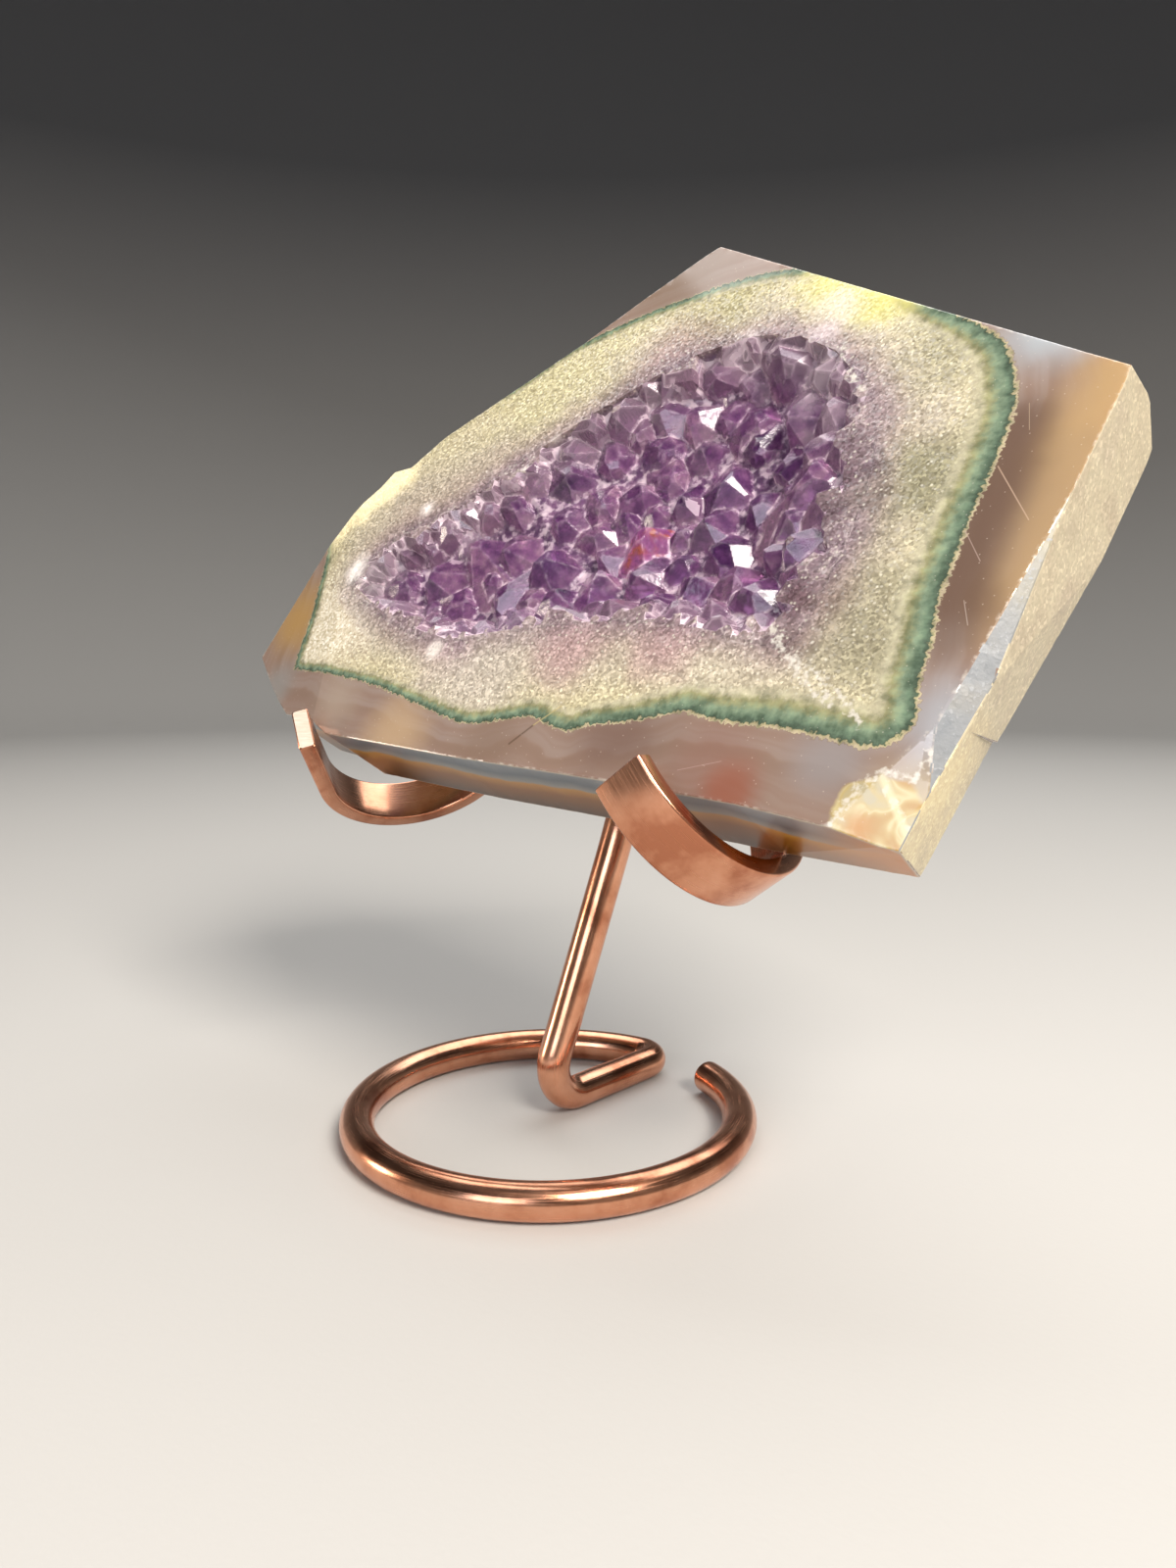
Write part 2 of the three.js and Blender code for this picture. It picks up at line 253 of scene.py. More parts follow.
def skin(mesh, rings, turned=False):
    """Joins each closed ring of vertices to the next with quads, facing the other way when turned."""
    for first, second in zip(rings, rings[1:]):
        for k in range(len(first)):
            n = (k + 1) % len(first)
            quad = [first[k], first[n], second[n], second[k]]
            mesh.faces.new(quad[:1] + quad[:0:-1] if turned else quad)


def store(piece, name, values, domain="POINT"):
    """Keeps one number, or one triple, for each vertex or face, for the material to read."""
    values = np.asarray(values, np.float32)
    kind, field = ("FLOAT_VECTOR", "vector") if values.ndim == 2 else ("FLOAT", "value")
    piece.data.attributes.new(name, kind, domain).data.foreach_set(field, values.ravel())


def round_bend(before, corner, after, radius, step):
    """Points of the round bend that replaces a corner between two straight runs."""
    inbound = (corner - before).normalized()
    outbound = (after - corner).normalized()
    turn = inbound.angle(outbound)
    start = corner - inbound * radius * math.tan(turn / 2)
    to_centre = (outbound - inbound * outbound.dot(inbound)).normalized()
    count = max(2, math.ceil(turn / step))
    points = []
    for i in range(count + 1):
        angle = turn * i / count
        points.append(start + inbound * radius * math.sin(angle) + to_centre * radius * (1 - math.cos(angle)))
    return points


# Copper rod
def rod_centreline():
    """The bent rod from its open end round the ring, in along the spoke and up the stem."""
    def on_ring(deg):
        angle = math.radians(deg)
        return Vector((RING_RADIUS * math.cos(angle), RING_RADIUS * math.sin(angle), ROD_RADIUS))

    step_deg, room_deg = 3, 9
    corner = on_ring(RING_CORNER_DEG)
    foot = Vector((*STEM_FOOT, ROD_RADIUS))
    waist = Vector(STEM_WAIST)
    top = Vector(STEM_TOP)
    points = [on_ring(deg) for deg in range(RING_OPEN_END_DEG, RING_CORNER_DEG + room_deg, -step_deg)]
    points += round_bend(on_ring(RING_CORNER_DEG + room_deg), corner, foot, SPOKE_BEND_RADIUS, step=0.1)
    points += round_bend(corner, foot, waist, STEM_BEND_RADIUS, step=0.09)
    points += round_bend(foot, waist, top, STEM_BOW_RADIUS, step=0.02)
    return points + [top]


def evenly_filled(points, gap):
    """The same path with extra points wherever two stand further apart than gap."""
    filled = [points[0]]
    for here in points[1:]:
        last = filled[-1]
        count = max(1, math.ceil((here - last).length / gap))
        filled += [last.lerp(here, i / count) for i in range(1, count + 1)]
    return filled


def sweep_rod(points, radius, sides=36, end_round=0.6):
    """A closed round rod along points, its ends filed round, with places around and along for its finish."""
    mesh = bmesh.new()
    last = len(points) - 1
    tangents = []
    for i in range(last + 1):
        tangents.append((points[min(i + 1, last)] - points[max(i - 1, 0)]).normalized())
    quarter = [math.pi / 2 * k / 4 for k in range(5)]
    filed = [(end_round * (1 - math.sin(a)), radius - end_round * (1 - math.cos(a))) for a in quarter]
    stations = {0: filed[::-1], last: [(-back, r) for back, r in filed]}
    side = tangents[0].cross(Vector((0, 0, 1))).normalized()
    rings = []
    drawn = []
    run = 0
    for i, (point, tangent) in enumerate(zip(points, tangents)):
        side = (side - tangent * side.dot(tangent)).normalized()
        over = tangent.cross(side)
        run += (point - points[i - 1]).length if i else 0
        for back, r in stations.get(i, [(0, radius)]):
            ring = []
            for k in range(sides):
                angle = 2 * math.pi * k / sides
                out = side * math.cos(angle) + over * math.sin(angle)
                ring.append(mesh.verts.new(point + tangent * back + out * r))
                drawn.append((radius * angle, run + back, 0))
            rings.append(ring)
    skin(mesh, rings)
    mesh.faces.new(rings[0][::-1])
    mesh.faces.new(rings[-1])
    mesh.normal_update()
    return mesh, drawn


# Copper bar
def bar_section(mitre_place):
    """The bar's section as (across its width, through its thickness), with a point where the mitre starts."""
    flat_width = BAR_WIDTH / 2 - BAR_CORNER
    flat_thick = BAR_THICKNESS / 2 - BAR_CORNER
    section = []
    for turn, (sign_a, sign_b) in enumerate(((1, 1), (-1, 1), (-1, -1), (1, -1))):
        for k in range(4):
            angle = math.pi / 2 * (turn + k / 3)
            section.append((
                sign_a * flat_width + BAR_CORNER * math.cos(angle),
                sign_b * flat_thick + BAR_CORNER * math.sin(angle),
            ))
        if turn in (0, 2):
            section.append((mitre_place, sign_b * BAR_THICKNESS / 2))
    return section


def arm_path(arm):
    """Stations of one arm in its own plane: along, lift, and the angle that it has turned by."""
    straight_steps, bend_step = 16, 0.06
    stations = [(arm["run"] * i / straight_steps, 0, 0) for i in range(straight_steps + 1)]
    count = math.ceil(arm["turn"] / bend_step)
    for i in range(1, count + 1):
        angle = arm["turn"] * i / count
        along = arm["run"] + HOOK_RADIUS * math.sin(angle)
        stations.append((along, HOOK_RADIUS * (1 - math.cos(angle)), angle))
    along, lift, angle = stations[-1]
    for part in (0.5, 1):
        reach = arm["tip"] * part
        stations.append((along + reach * math.cos(angle), lift + reach * math.sin(angle), angle))
    return stations


def build_arm(mesh, arm, half_spread, drawn):
    """One hooked arm of the cradle, from the mitre at the apex to its filed tip."""
    mitre_place = -arm["side"] * APEX_OVERLAP * math.tan(half_spread)
    section = bar_section(mitre_place)
    turned = Matrix.Rotation(-math.pi / 2 + arm["side"] * arm["spread"], 4, "Z")
    stations = arm_path(arm)
    file_back = 0.25
    rings = []
    run = 0
    for i, (along, lift, angle) in enumerate(stations):
        run += math.dist(stations[i - 1][:2], (along, lift)) if i else 0
        last = i == len(stations) - 1
        for back, shrink in ((file_back, 0), (0, file_back)) if last else ((0, 0),):
            ring = []
            for a, b in section:
                a -= math.copysign(shrink, a)
                b -= math.copysign(shrink, b)
                start = max(-APEX_OVERLAP, arm["side"] * a / math.tan(half_spread)) if i == 0 else 0
                x = along + start - back * math.cos(angle) - b * math.sin(angle)
                z = lift - back * math.sin(angle) + b * math.cos(angle)
                ring.append(mesh.verts.new(turned @ Vector((x, a, z))))
                drawn.append((a, run - back, b))
            rings.append(ring)
    skin(mesh, rings, turned=True)
    tip = mesh.faces.new(rings[-1])
    tip.material_index = 1


def build_cradle():
    """Both arms, joined by a mitre where they meet behind the stone."""
    mesh = bmesh.new()
    drawn = []
    half_spread = (RIGHT_ARM["spread"] + LEFT_ARM["spread"]) / 2
    for arm in (RIGHT_ARM, LEFT_ARM):
        build_arm(mesh, arm, half_spread, drawn)
    layer = mesh.verts.layers.float_vector.new("drawn")
    for vertex, place in zip(mesh.verts, drawn):
        vertex[layer] = place
    bmesh.ops.remove_doubles(mesh, verts=mesh.verts[:], dist=WELD)
    open_edges = [edge for edge in mesh.edges if len(edge.link_faces) == 1]
    bmesh.ops.holes_fill(mesh, edges=open_edges, sides=0)
    bmesh.ops.recalc_face_normals(mesh, faces=mesh.faces[:])
    return mesh


# Outlines on the face
def rounded(points, per_span=6):
    """A closed outline through points, rounded between them."""
    points = np.array(points, float)
    out = []
    for i in range(len(points)):
        a, b, c, d = (points[(i + k) % len(points)] for k in (-1, 0, 1, 2))
        for t in np.arange(per_span) / per_span:
            out.append(b + 0.5 * t * (c - a + t * (2 * a - 5 * b + 4 * c - d + t * (3 * (b - c) + d - a))))
    return np.array(out)


# The hollow's edge as the crystals and the stone's markings follow it
HOLLOW_EDGE = rounded(HOLLOW_OUTLINE, 3)


def inside_mm(places, outline):
    """How far each place is inside a closed outline, in mm, less than 0 outside, and its run along it."""
    starts, ends = outline, np.roll(outline, -1, axis=0)
    along = ends - starts
    length = np.hypot(*along.T)
    before = np.concatenate([[0], np.cumsum(length)[:-1]])
    depth = np.empty(len(places))
    run = np.empty(len(places))
    for first in range(0, len(places), 4000):
        part = places[first:first + 4000]
        offset = part[:, None, :] - starts[None]
        share = np.clip((offset * along).sum(2) / length ** 2, 0, 1)
        gap = np.hypot(*(offset - share[..., None] * along).transpose(2, 0, 1))
        nearest = gap.argmin(1)
        rows = np.arange(len(part))
        crosses = (starts[None, :, 1] > part[:, None, 1]) != (ends[None, :, 1] > part[:, None, 1])
        rise = np.where(along[:, 1] == 0, 1e-9, along[:, 1])
        meets = starts[:, 0] + along[:, 0] * (part[:, 1:2] - starts[:, 1]) / rise
        odd = (crosses & (part[:, 0:1] < meets)).sum(1) % 2
        depth[first:first + 4000] = gap[rows, nearest] * np.where(odd == 1, 1, -1)
        run[first:first + 4000] = before[nearest] + share[rows, nearest] * length[nearest]
    return depth, run


def store_stone_places(piece, arris_mm=None):
    """Keeps each vertex's place on the stone, its depth inside the rind and its distance from the hollow."""
    lean_of_rind = 0.25
    far_from_arris = 10
    count = len(piece.data.vertices)
    row = np.empty(count * 3)
    piece.data.vertices.foreach_get("co", row)
    to_stone = np.array(SLAB_FRAME.inverted())
    places = row.reshape(-1, 3) @ to_stone[:3, :3].T + to_stone[:3, 3]
    depth, run = inside_mm(places[:, :2], rounded(RIND_OUTLINE))
    from_hollow = -inside_mm(places[:, :2], HOLLOW_EDGE)[0]
    arris = np.full(count, far_from_arris) if arris_mm is None else arris_mm
    cracks = [(Vector((*a, 0)), Vector((*b, 0))) for line in FROST_LINES for a, b in zip(line, line[1:])]
    store(piece, "stone", places)
    store(piece, "rind", np.stack([depth - lean_of_rind * places[:, 2], run, arris], 1))
    store(piece, "from_hollow", from_hollow)
    store(piece, "crack", distance_to_lines(places * (1, 1, 0), cracks))


# Agate slab
def sharp_lines(mesh):
    """The stone's arrises as pairs of ends, without the facets of the bowl."""
    sharp_deg, rim_room, bowl_bottom = 12, 1.5, -17
    lines = []
    edges = []
    for edge in mesh.edges:
        if len(edge.link_faces) != 2 or edge.calc_face_angle() < math.radians(sharp_deg):
            continue
        ends = [vertex.co for vertex in edge.verts]
        middle = np.array([(ends[0] + ends[1])[:2]]) / 2
        in_hollow = inside_mm(middle, HOLLOW_EDGE)[0][0] > -rim_room
        if in_hollow and min(end.z for end in ends) > bowl_bottom:
            continue
        lines.append((ends[0].copy(), ends[1].copy()))
        edges.append(edge)
    return lines, edges


def distance_to_lines(places, lines):
    """Distance in mm from each place to the nearest of the straight lines."""
    nearest = np.full(len(places), 1e9)
    for start, end in lines:
        start, along = np.array(start), np.array(end - start)
        share = np.clip((places - start) @ along / (along @ along), 0, 1)
        nearest = np.minimum(nearest, np.linalg.norm(places - start - share[:, None] * along, axis=1))
    return nearest


def cut_into_cells(mesh):
    """Scores the stone into small cells, so that its markings can follow the rind's outline."""
    shift = 0.37
    for axis, step in ((0, FACE_CELL), (1, FACE_CELL), (2, SIDE_CELL)):
        places = [vertex.co[axis] for vertex in mesh.verts]
        normal = Vector([float(axis == k) for k in range(3)])
        for k in range(math.ceil(min(places) / step), math.floor(max(places) / step) + 1):
            whole = mesh.verts[:] + mesh.edges[:] + mesh.faces[:]
            cut = normal * (k * step + shift)
            bmesh.ops.bisect_plane(mesh, geom=whole, dist=1e-4, plane_co=cut, plane_no=normal)


def chip_the_arrises(mesh, lines):
    """Small shell-shaped chips along the ground edges, deepest on the edge and near the worn corner."""
    reach, usual_depth, worst_depth, sound, coarse, fine = 1.2, 0.12, 0.7, 0.12, 0.55, 1.7
    worn_corner, worn_reach = Vector((84, 2, -4)), 22
    places = np.array([vertex.co for vertex in mesh.verts])
    for vertex, gap in zip(mesh.verts, distance_to_lines(places, lines)):
        if gap < reach:
            rough = noise.noise(vertex.co * coarse) + 0.5 * noise.noise(vertex.co * fine)
            worst = usual_depth + worst_depth * max(0, 1 - (vertex.co - worn_corner).length / worn_reach)
            vertex.co -= vertex.normal * worst * max(0, rough - sound) * (1 - gap / reach)


def build_slab():
    """The stone from its solid: arrises eased, faces scored into cells, edges chipped."""
    mesh = bmesh.new()
    mesh.from_mesh(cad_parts["agate_slab"].data)
    mesh.transform(SLAB_FRAME.inverted())
    bmesh.ops.remove_doubles(mesh, verts=mesh.verts[:], dist=WELD)
    flat = math.radians(0.5)
    bmesh.ops.dissolve_limit(mesh, angle_limit=flat, verts=mesh.verts[:], edges=mesh.edges[:])
    lines, edges = sharp_lines(mesh)
    bmesh.ops.bevel(
        mesh, geom=edges, offset=ARRIS, segments=2, profile=0.5, affect="EDGES", clamp_overlap=True,
    )
    cut_into_cells(mesh)
    mesh.normal_update()
    chip_the_arrises(mesh, lines)
    mesh.normal_update()
    # The sawn side, the underside and the chamfer between face and sawn side have finishes of their own
    side_starts, underside_ends = 70, 15
    for face in mesh.faces:
        middle = face.calc_center_median()
        if face.normal.x > 0.8 and middle.x > side_starts:
            face.material_index = 1
        elif face.normal.y < -0.75 and middle.y < underside_ends:
            face.material_index = 2
        elif 0.5 < face.normal.x < 0.8 and face.normal.z > 0.5:
            face.material_index = 3
    return mesh, lines


# Amethyst crust. Each place of its grid is owned by one face, numbered by its crystal's number times the step
# plus its own. The bare ground and the tops that the saw took off count as one crystal, number -1
OWNER_STEP = 16
GROUND = -16
SAWN = -1


def bowl_depth(across, up):
    """Depth of the bowl under the face, as in the solid, for arrays of places."""
    depth = np.zeros_like(across)
    for bowl in BOWLS:
        aside = (across - bowl["across"]) / bowl["half_width"]
        above = (up - bowl["up"]) / bowl["half_height"]
        room = np.maximum(1 - aside ** 2 - above ** 2, 0)
        depth = np.maximum(depth, (bowl["depth"] + BOWL_RIM) * np.sqrt(room) - BOWL_RIM)
    return depth


def crystal_floor(across, up, inside):
    """Height of the ground that the crystals stand on, sloping in from the hollow's ragged edge."""
    highest, deepest, setback = 2.5, 8, 0.6
    ragged = []
    for x, y in zip(across.ravel(), up.ravel()):
        ragged.append(1.7 * noise.noise((x * 0.13, y * 0.13, 3)) + 0.8 * noise.noise((x * 0.5, y * 0.5, 8)))
    # At the right the saw took the tops off the crystals, so the hollow starts further in and falls gently
    sawn_right = 6 * np.clip((across - 38) / 12, 0, 1) * np.clip((72 - up) / 12, 0, 1)
    steepness = 0.75 - 0.4 * np.clip((across - 28) / 14, 0, 1)
    reach = inside - sawn_right + np.reshape(ragged, across.shape) - setback
    ground = np.minimum(bowl_depth(across, up) - CRUST_THICKNESS, steepness * reach)
    return -np.clip(ground, -highest, deepest)


def crystal_seeds():
    """Places and half widths of the crystals: the large ones, then smaller ones wherever there is room."""
    rng = np.random.default_rng(CRYSTAL_SEED)
    tries, rim_width, outermost, crowding, spread = 16000, 9, -4, 0.84, 0.5
    span_across, span_up = (-62, 62), (14, 90)
    across = rng.uniform(*span_across, tries)
    up = rng.uniform(*span_up, tries)
    inside = inside_mm(np.stack([across, up], 1), HOLLOW_EDGE)[0]
    largest = SHALLOW_CRYSTAL + (DEEP_CRYSTAL - SHALLOW_CRYSTAL) * np.clip(inside / rim_width, 0, 1)
    least = SMALLEST_CRYSTAL + spread * (largest - SHALLOW_CRYSTAL)
    size = least + (largest - least) * rng.uniform(0, 1, tries)
    large = np.array(LARGE_CRYSTALS)
    across = np.concatenate([large[:, 0], across])
    up = np.concatenate([large[:, 1], up])
    size = np.concatenate([large[:, 2], size])
    inside = inside_mm(np.stack([across, up], 1), HOLLOW_EDGE)[0]
    ground = crystal_floor(across, up, inside)
    kept = list(range(len(large)))
    for i in np.argsort(-size[len(large):]) + len(large):
        gap = np.hypot(across[kept] - across[i], up[kept] - up[i])
        if inside[i] > outermost and (gap > crowding * (size[kept] + size[i])).all():
            kept.append(i)
    return np.stack([across, up, ground, size], 1)[kept], rng


def crystal_faces(seed, slope, rng):
    """One quartz point as planes, height = a * across + b * up + c: six steep faces under a low cap."""
    across, up, ground, size = seed
    steepest_rise, sway, uneven_deg, cap_turn = 0.18, 0.2, 6, 0.5
    tip_height, steep_wear, cap_wear = (0.5, 0.85), (0, 0.22), (0.2, 0.46)
    axis = Vector((-slope[0], -slope[1], 1)).normalized()
    axis = (axis + Vector((rng.normal(0, sway), rng.normal(0, sway), 0))).normalized()
    tip = Vector((across, up, ground)) + axis * size * rng.uniform(*tip_height)
    side = axis.cross(Vector((0.3, 1, 0.2))).normalized()
    spin = rng.uniform(0, math.pi / 3)
    planes = []
    for k in range(STEEP_FACES + CAP_FACES):
        if k < STEEP_FACES:
            turn = spin + 2 * math.pi * k / STEEP_FACES
            lean = math.radians(STEEP_FACE_DEG + rng.uniform(-uneven_deg, uneven_deg))
            worn = size * rng.uniform(*steep_wear)
        else:
            turn = spin + cap_turn + 2 * math.pi * (k - STEEP_FACES) / CAP_FACES
            lean = math.radians(CAP_FACE_DEG + rng.uniform(-uneven_deg, uneven_deg))
            worn = size * rng.uniform(*cap_wear)
        normal = axis * math.cos(lean) + (Matrix.Rotation(turn, 3, axis) @ side) * math.sin(lean)
        height = max(normal.z, steepest_rise)
        reach = normal.x * tip.x + normal.y * tip.y - worn
        planes.append((-normal.x / height, -normal.y / height, tip.z + reach / height))
    return np.array(planes)


def grow_crystals(across, up, ground):
    """The face on top at each place, and how far it stands above the next crystal and the next face."""
    sunk, far_from_ridge, foot_widths, foot_room = 2.3, 9.0, 2.4, 1.5
    seeds, rng = crystal_seeds()
    slope_up, slope_across = np.gradient(ground, CRYSTAL_CELL)
    top = ground - sunk
    grid = {
        "plane": np.stack([slope_across, slope_up, top - slope_across * across - slope_up * up], -1),
        "owner": np.full(ground.shape, GROUND),
        "ridge": np.full(ground.shape, far_from_ridge),
        "rise": np.zeros(ground.shape),
    }
    second = top.copy()
    for number, seed in enumerate(seeds):
        reach = foot_widths * seed[3] + foot_room
        rows = np.abs(up[:, 0] - seed[1]) < reach
        columns = np.abs(across[0] - seed[0]) < reach
        if not (rows.any() and columns.any()):
            continue
        block = np.ix_(rows, columns)
        i = int(np.argmin(np.abs(up[:, 0] - seed[1])))
        j = int(np.argmin(np.abs(across[0] - seed[0])))
        planes = crystal_faces(seed, (slope_across[i, j], slope_up[i, j]), rng)
        heights = planes[:, 0, None, None] * across[block] + planes[:, 1, None, None] * up[block]
        heights += planes[:, 2, None, None]
        lowest = heights.argmin(0)
        ordered = np.partition(heights, 1, axis=0)
        height = ordered[0]
        wins = height > top[block]
        second[block] = np.where(wins, top[block], np.maximum(second[block], height))
        top[block] = np.where(wins, height, top[block])
        grid["owner"][block] = np.where(wins, number * OWNER_STEP + lowest, grid["owner"][block])
        grid["ridge"][block] = np.where(wins, ordered[1] - height, grid["ridge"][block])
        grid["rise"][block] = np.where(wins, (height - seed[2]) / seed[3], grid["rise"][block])
        grid["plane"][block] = np.where(wins[..., None], planes[lowest], grid["plane"][block])
    grid["valley"] = top - second
    sawn = top > 0
    grid["plane"][sawn] = 0
    grid["owner"][sawn] = SAWN
    return grid, seeds, rng


def four_corners(values):
    """The values at the four corners of each cell."""
    return np.stack([values[:-1, :-1], values[:-1, 1:], values[1:, :-1], values[1:, 1:]])


def crisp_points(across, up, plane):
    """One point in each cell of the grid, where the faces around it meet, so that edges stay sharp."""
    middle = [(across[:-1, :-1] + across[1:, 1:]) / 2, (up[:-1, :-1] + up[1:, 1:]) / 2]
    hold = 0.06
    corners = four_corners(plane)
    rows = np.stack([-corners[..., 0], -corners[..., 1], np.ones(corners.shape[:-1])], -1)
    matrix = (rows[..., :, None] * rows[..., None, :]).sum(0)
    right = (rows * corners[..., 2:3]).sum(0)
    for axis in (0, 1):
        matrix[..., axis, axis] += hold
        right[..., axis] += hold * middle[axis]
    point = np.linalg.solve(matrix, right[..., None])[..., 0]
    half = CRYSTAL_CELL * 0.55
    for axis in (0, 1):
        point[..., axis] = np.clip(point[..., axis], middle[axis] - half, middle[axis] + half)
    heights = corners[..., 0] * point[..., 0] + corners[..., 1] * point[..., 1] + corners[..., 2]
    point[..., 2] = np.minimum(heights.mean(0), 0)
    return point


def painted_highlight_spots(across, up, owner):
    """The crystal face at each place of painted highlight, with the place and how far the painted highlight
    reaches.
    """
    spots = []
    for x, y, reach in PAINTED_HIGHLIGHT_FACES:
        which = owner[np.argmin(np.abs(up[:, 0] - y)), np.argmin(np.abs(across[0] - x))]
        spots.append((which, Vector((x, y)), reach))
    return spots


def crystal_tones(seeds, rng):
    """A tone for each face of each crystal, mostly the crystal's own, and how pink each crystal is."""
    faces_own, crystals_own, pinkest = 0.6, 0.7, 0.9
    tones = rng.uniform(-1, 1, (len(seeds) + 1, OWNER_STEP))
    gap = np.hypot(seeds[:, 0] - PINK_CRYSTAL[0], seeds[:, 1] - PINK_CRYSTAL[1])
    return faces_own * tones + crystals_own * tones[:, :1], pinkest * np.exp(-(gap / PINK_REACH) ** 2)


def build_crust():
    """The crust of crystals that lines the hollow, cut off flat where it meets the sawn face."""
    margin, lip, flange, above_face, least, painted_highlight = 3, 0.05, 0.8, 0.01, 0.25, 0.5
    low, high = HOLLOW_EDGE.min(0) - margin, HOLLOW_EDGE.max(0) + margin
    across, up = np.meshgrid(*(np.arange(low[axis], high[axis], CRYSTAL_CELL) for axis in (0, 1)))
    inside = inside_mm(np.stack([across.ravel(), up.ravel()], 1), HOLLOW_EDGE)[0].reshape(across.shape)
    grid, seeds, rng = grow_crystals(across, up, crystal_floor(across, up, inside))
    points = crisp_points(across, up, grid["plane"])
    owners = four_corners(grid["owner"])
    valley = np.where(np.ptp(owners // OWNER_STEP, axis=0) > 0, 0, four_corners(grid["valley"]).min(0))
    ridge = np.where(np.ptp(owners, axis=0) > 0, 0, four_corners(grid["ridge"]).min(0))
    rise = four_corners(grid["rise"]).mean(0)
    cell_inside = four_corners(inside).mean(0)
    # Faces of the listed crystals near each spot get a painted highlight
    bright = painted_highlight_spots(across, up, grid["owner"])
    tones, pink = crystal_tones(seeds, rng)
    back = np.where(cell_inside > 0, FIT_GAP - bowl_depth(points[..., 0], points[..., 1]), above_face)
    back = np.minimum(back, points[..., 2] - np.where(cell_inside > 0, least, -above_face))
    mesh = bmesh.new()
    edge_layer = mesh.verts.layers.float_vector.new("edges")
    look_layer = mesh.faces.layers.float_vector.new("look")
    fronts, backs = {}, {}
    for i, j in zip(*np.nonzero(cell_inside > -flange)):
        x, y, z = points[i, j]
        fronts[i, j] = mesh.verts.new((x, y, z + lip))
        fronts[i, j][edge_layer] = (valley[i, j], ridge[i, j], rise[i, j])
        backs[i, j] = mesh.verts.new((x, y, back[i, j]))
    for i, j in list(fronts):
        ring = [(i, j), (i, j + 1), (i + 1, j + 1), (i + 1, j)]
        if not all(key in fronts for key in ring):
            continue
        face = mesh.faces.new([fronts[key] for key in ring])
        owner = grid["owner"][i + 1, j + 1]
        if owner >= 0:
            here = Vector(points[i, j][:2])
            has_painted_highlight = any(owner == which and (here - spot).length < reach for which, spot, reach in bright)
            crystal = owner // OWNER_STEP
            face[look_layer] = (tones[crystal, owner % OWNER_STEP], pink[crystal], painted_highlight * has_painted_highlight)
        else:
            face[look_layer] = (0.5, 0, 0)
        face.material_index = 1 if owner == SAWN else 0
        mesh.faces.new([backs[key] for key in reversed(ring)])
    partner = {fronts[key]: backs[key] for key in fronts}
    for edge in [edge for edge in mesh.edges if len(edge.link_faces) == 1 and edge.verts[0] in partner]:
        first, second = edge.verts
        if edge.link_loops[0].vert is first:
            first, second = second, first
        mesh.faces.new((first, second, partner[second], partner[first]))
    loose = [vertex for vertex in mesh.verts if not vertex.link_faces]
    bmesh.ops.delete(mesh, geom=loose, context="VERTS")
    mesh.normal_update()
    return mesh


# Finishes. The size of each pattern is in millimetres, as are the places on the stone that it reads.
# Quartz, the stuff of agate: its IOR, and light that spreads under the surface, red the furthest
QUARTZ = {"IOR": 1.54, "Subsurface Radius": (1.0, 0.88, 0.76)}


def drawn_copper(tree):
    """Bright drawn copper: a warm pink-orange metal, fine lines along the drawing and faint brown oxide."""
    line_width, line_length, patch = 0.2, 8.333, 11.11
    drawn = add(tree, "Attribute", attribute_name="drawn").outputs["Vector"]
    per_mm = (1 / line_width, 1 / line_length, 1 / line_width)
    lines = add(tree, "Mapping", {"Vector": drawn, "Scale": per_mm})
    fine = add(tree, "TexNoise", {"Vector": lines, "Detail": 5}, size=1)
    place = add(tree, "TexCoord").outputs["Object"]
    clouds = add(tree, "TexNoise", {"Vector": place, "Detail": 4, "Roughness": 0.6}, size=patch * MM)
    oxide = add(tree, "ValToRGB", [clouds], stops=[(0.34, "#e6ab8c"), (0.52, "#d69878"), (0.64, "#b8775a")])
    streak = add(tree, "MapRange", [fine, 0.35, 0.7, 0.16, 0.3])
    bump = add(tree, "Bump", {"Height": fine, "Strength": 0.12, "Distance": 0.06 * MM})
    metal = {"Base Color": oxide, "Metallic": 1, "Roughness": streak, "Normal": bump}
    return [add(tree, "BsdfPrincipled", metal)]


def sheared_copper_painted_highlight(tree):
    """The bar's cut end: the same copper sheared and filed, less shiny, with marks across it, painted near
    white as a painted highlight.
    """
    mark_length, mark_width = 3.333 * MM, 0.4 * MM
    per_metre = (1 / mark_length, 1 / mark_length, 1 / mark_width)
    place = add(tree, "TexCoord").outputs["Object"]
    cuts = add(tree, "Mapping", {"Vector": place, "Scale": per_metre})
    grit = add(tree, "TexNoise", {"Vector": cuts, "Detail": 3}, size=1)
    # Near white: a painted highlight standing for the brightly lit end face
    colour = add(tree, "ValToRGB", [grit], stops=[(0.3, "#f8dcc4"), (0.7, "#fff4e4")])
    bump = add(tree, "Bump", {"Height": grit, "Strength": 0.4, "Distance": 0.1 * MM})
    metal = {"Base Color": colour, "Metallic": 1, "Roughness": 0.55, "Normal": bump}
    return [add(tree, "BsdfPrincipled", metal)]


def stone_places(tree):
    """What the stone finishes read: place, depth inside the rind and run along it, and the distances from the
    nearest arris, from the hollow and from a rough crack."""
    rind = add(tree, "Attribute", attribute_name="rind").outputs["Vector"]
    depth, run, arris = add(tree, "SeparateXYZ", [rind]).outputs
    return {
        "place": add(tree, "Attribute", attribute_name="stone").outputs["Vector"],
        "depth": depth,
        "run": run,
        "arris": arris,
        "hollow": add(tree, "Attribute", attribute_name="from_hollow").outputs["Fac"],
        "crack": add(tree, "Attribute", attribute_name="crack").outputs["Fac"],
    }
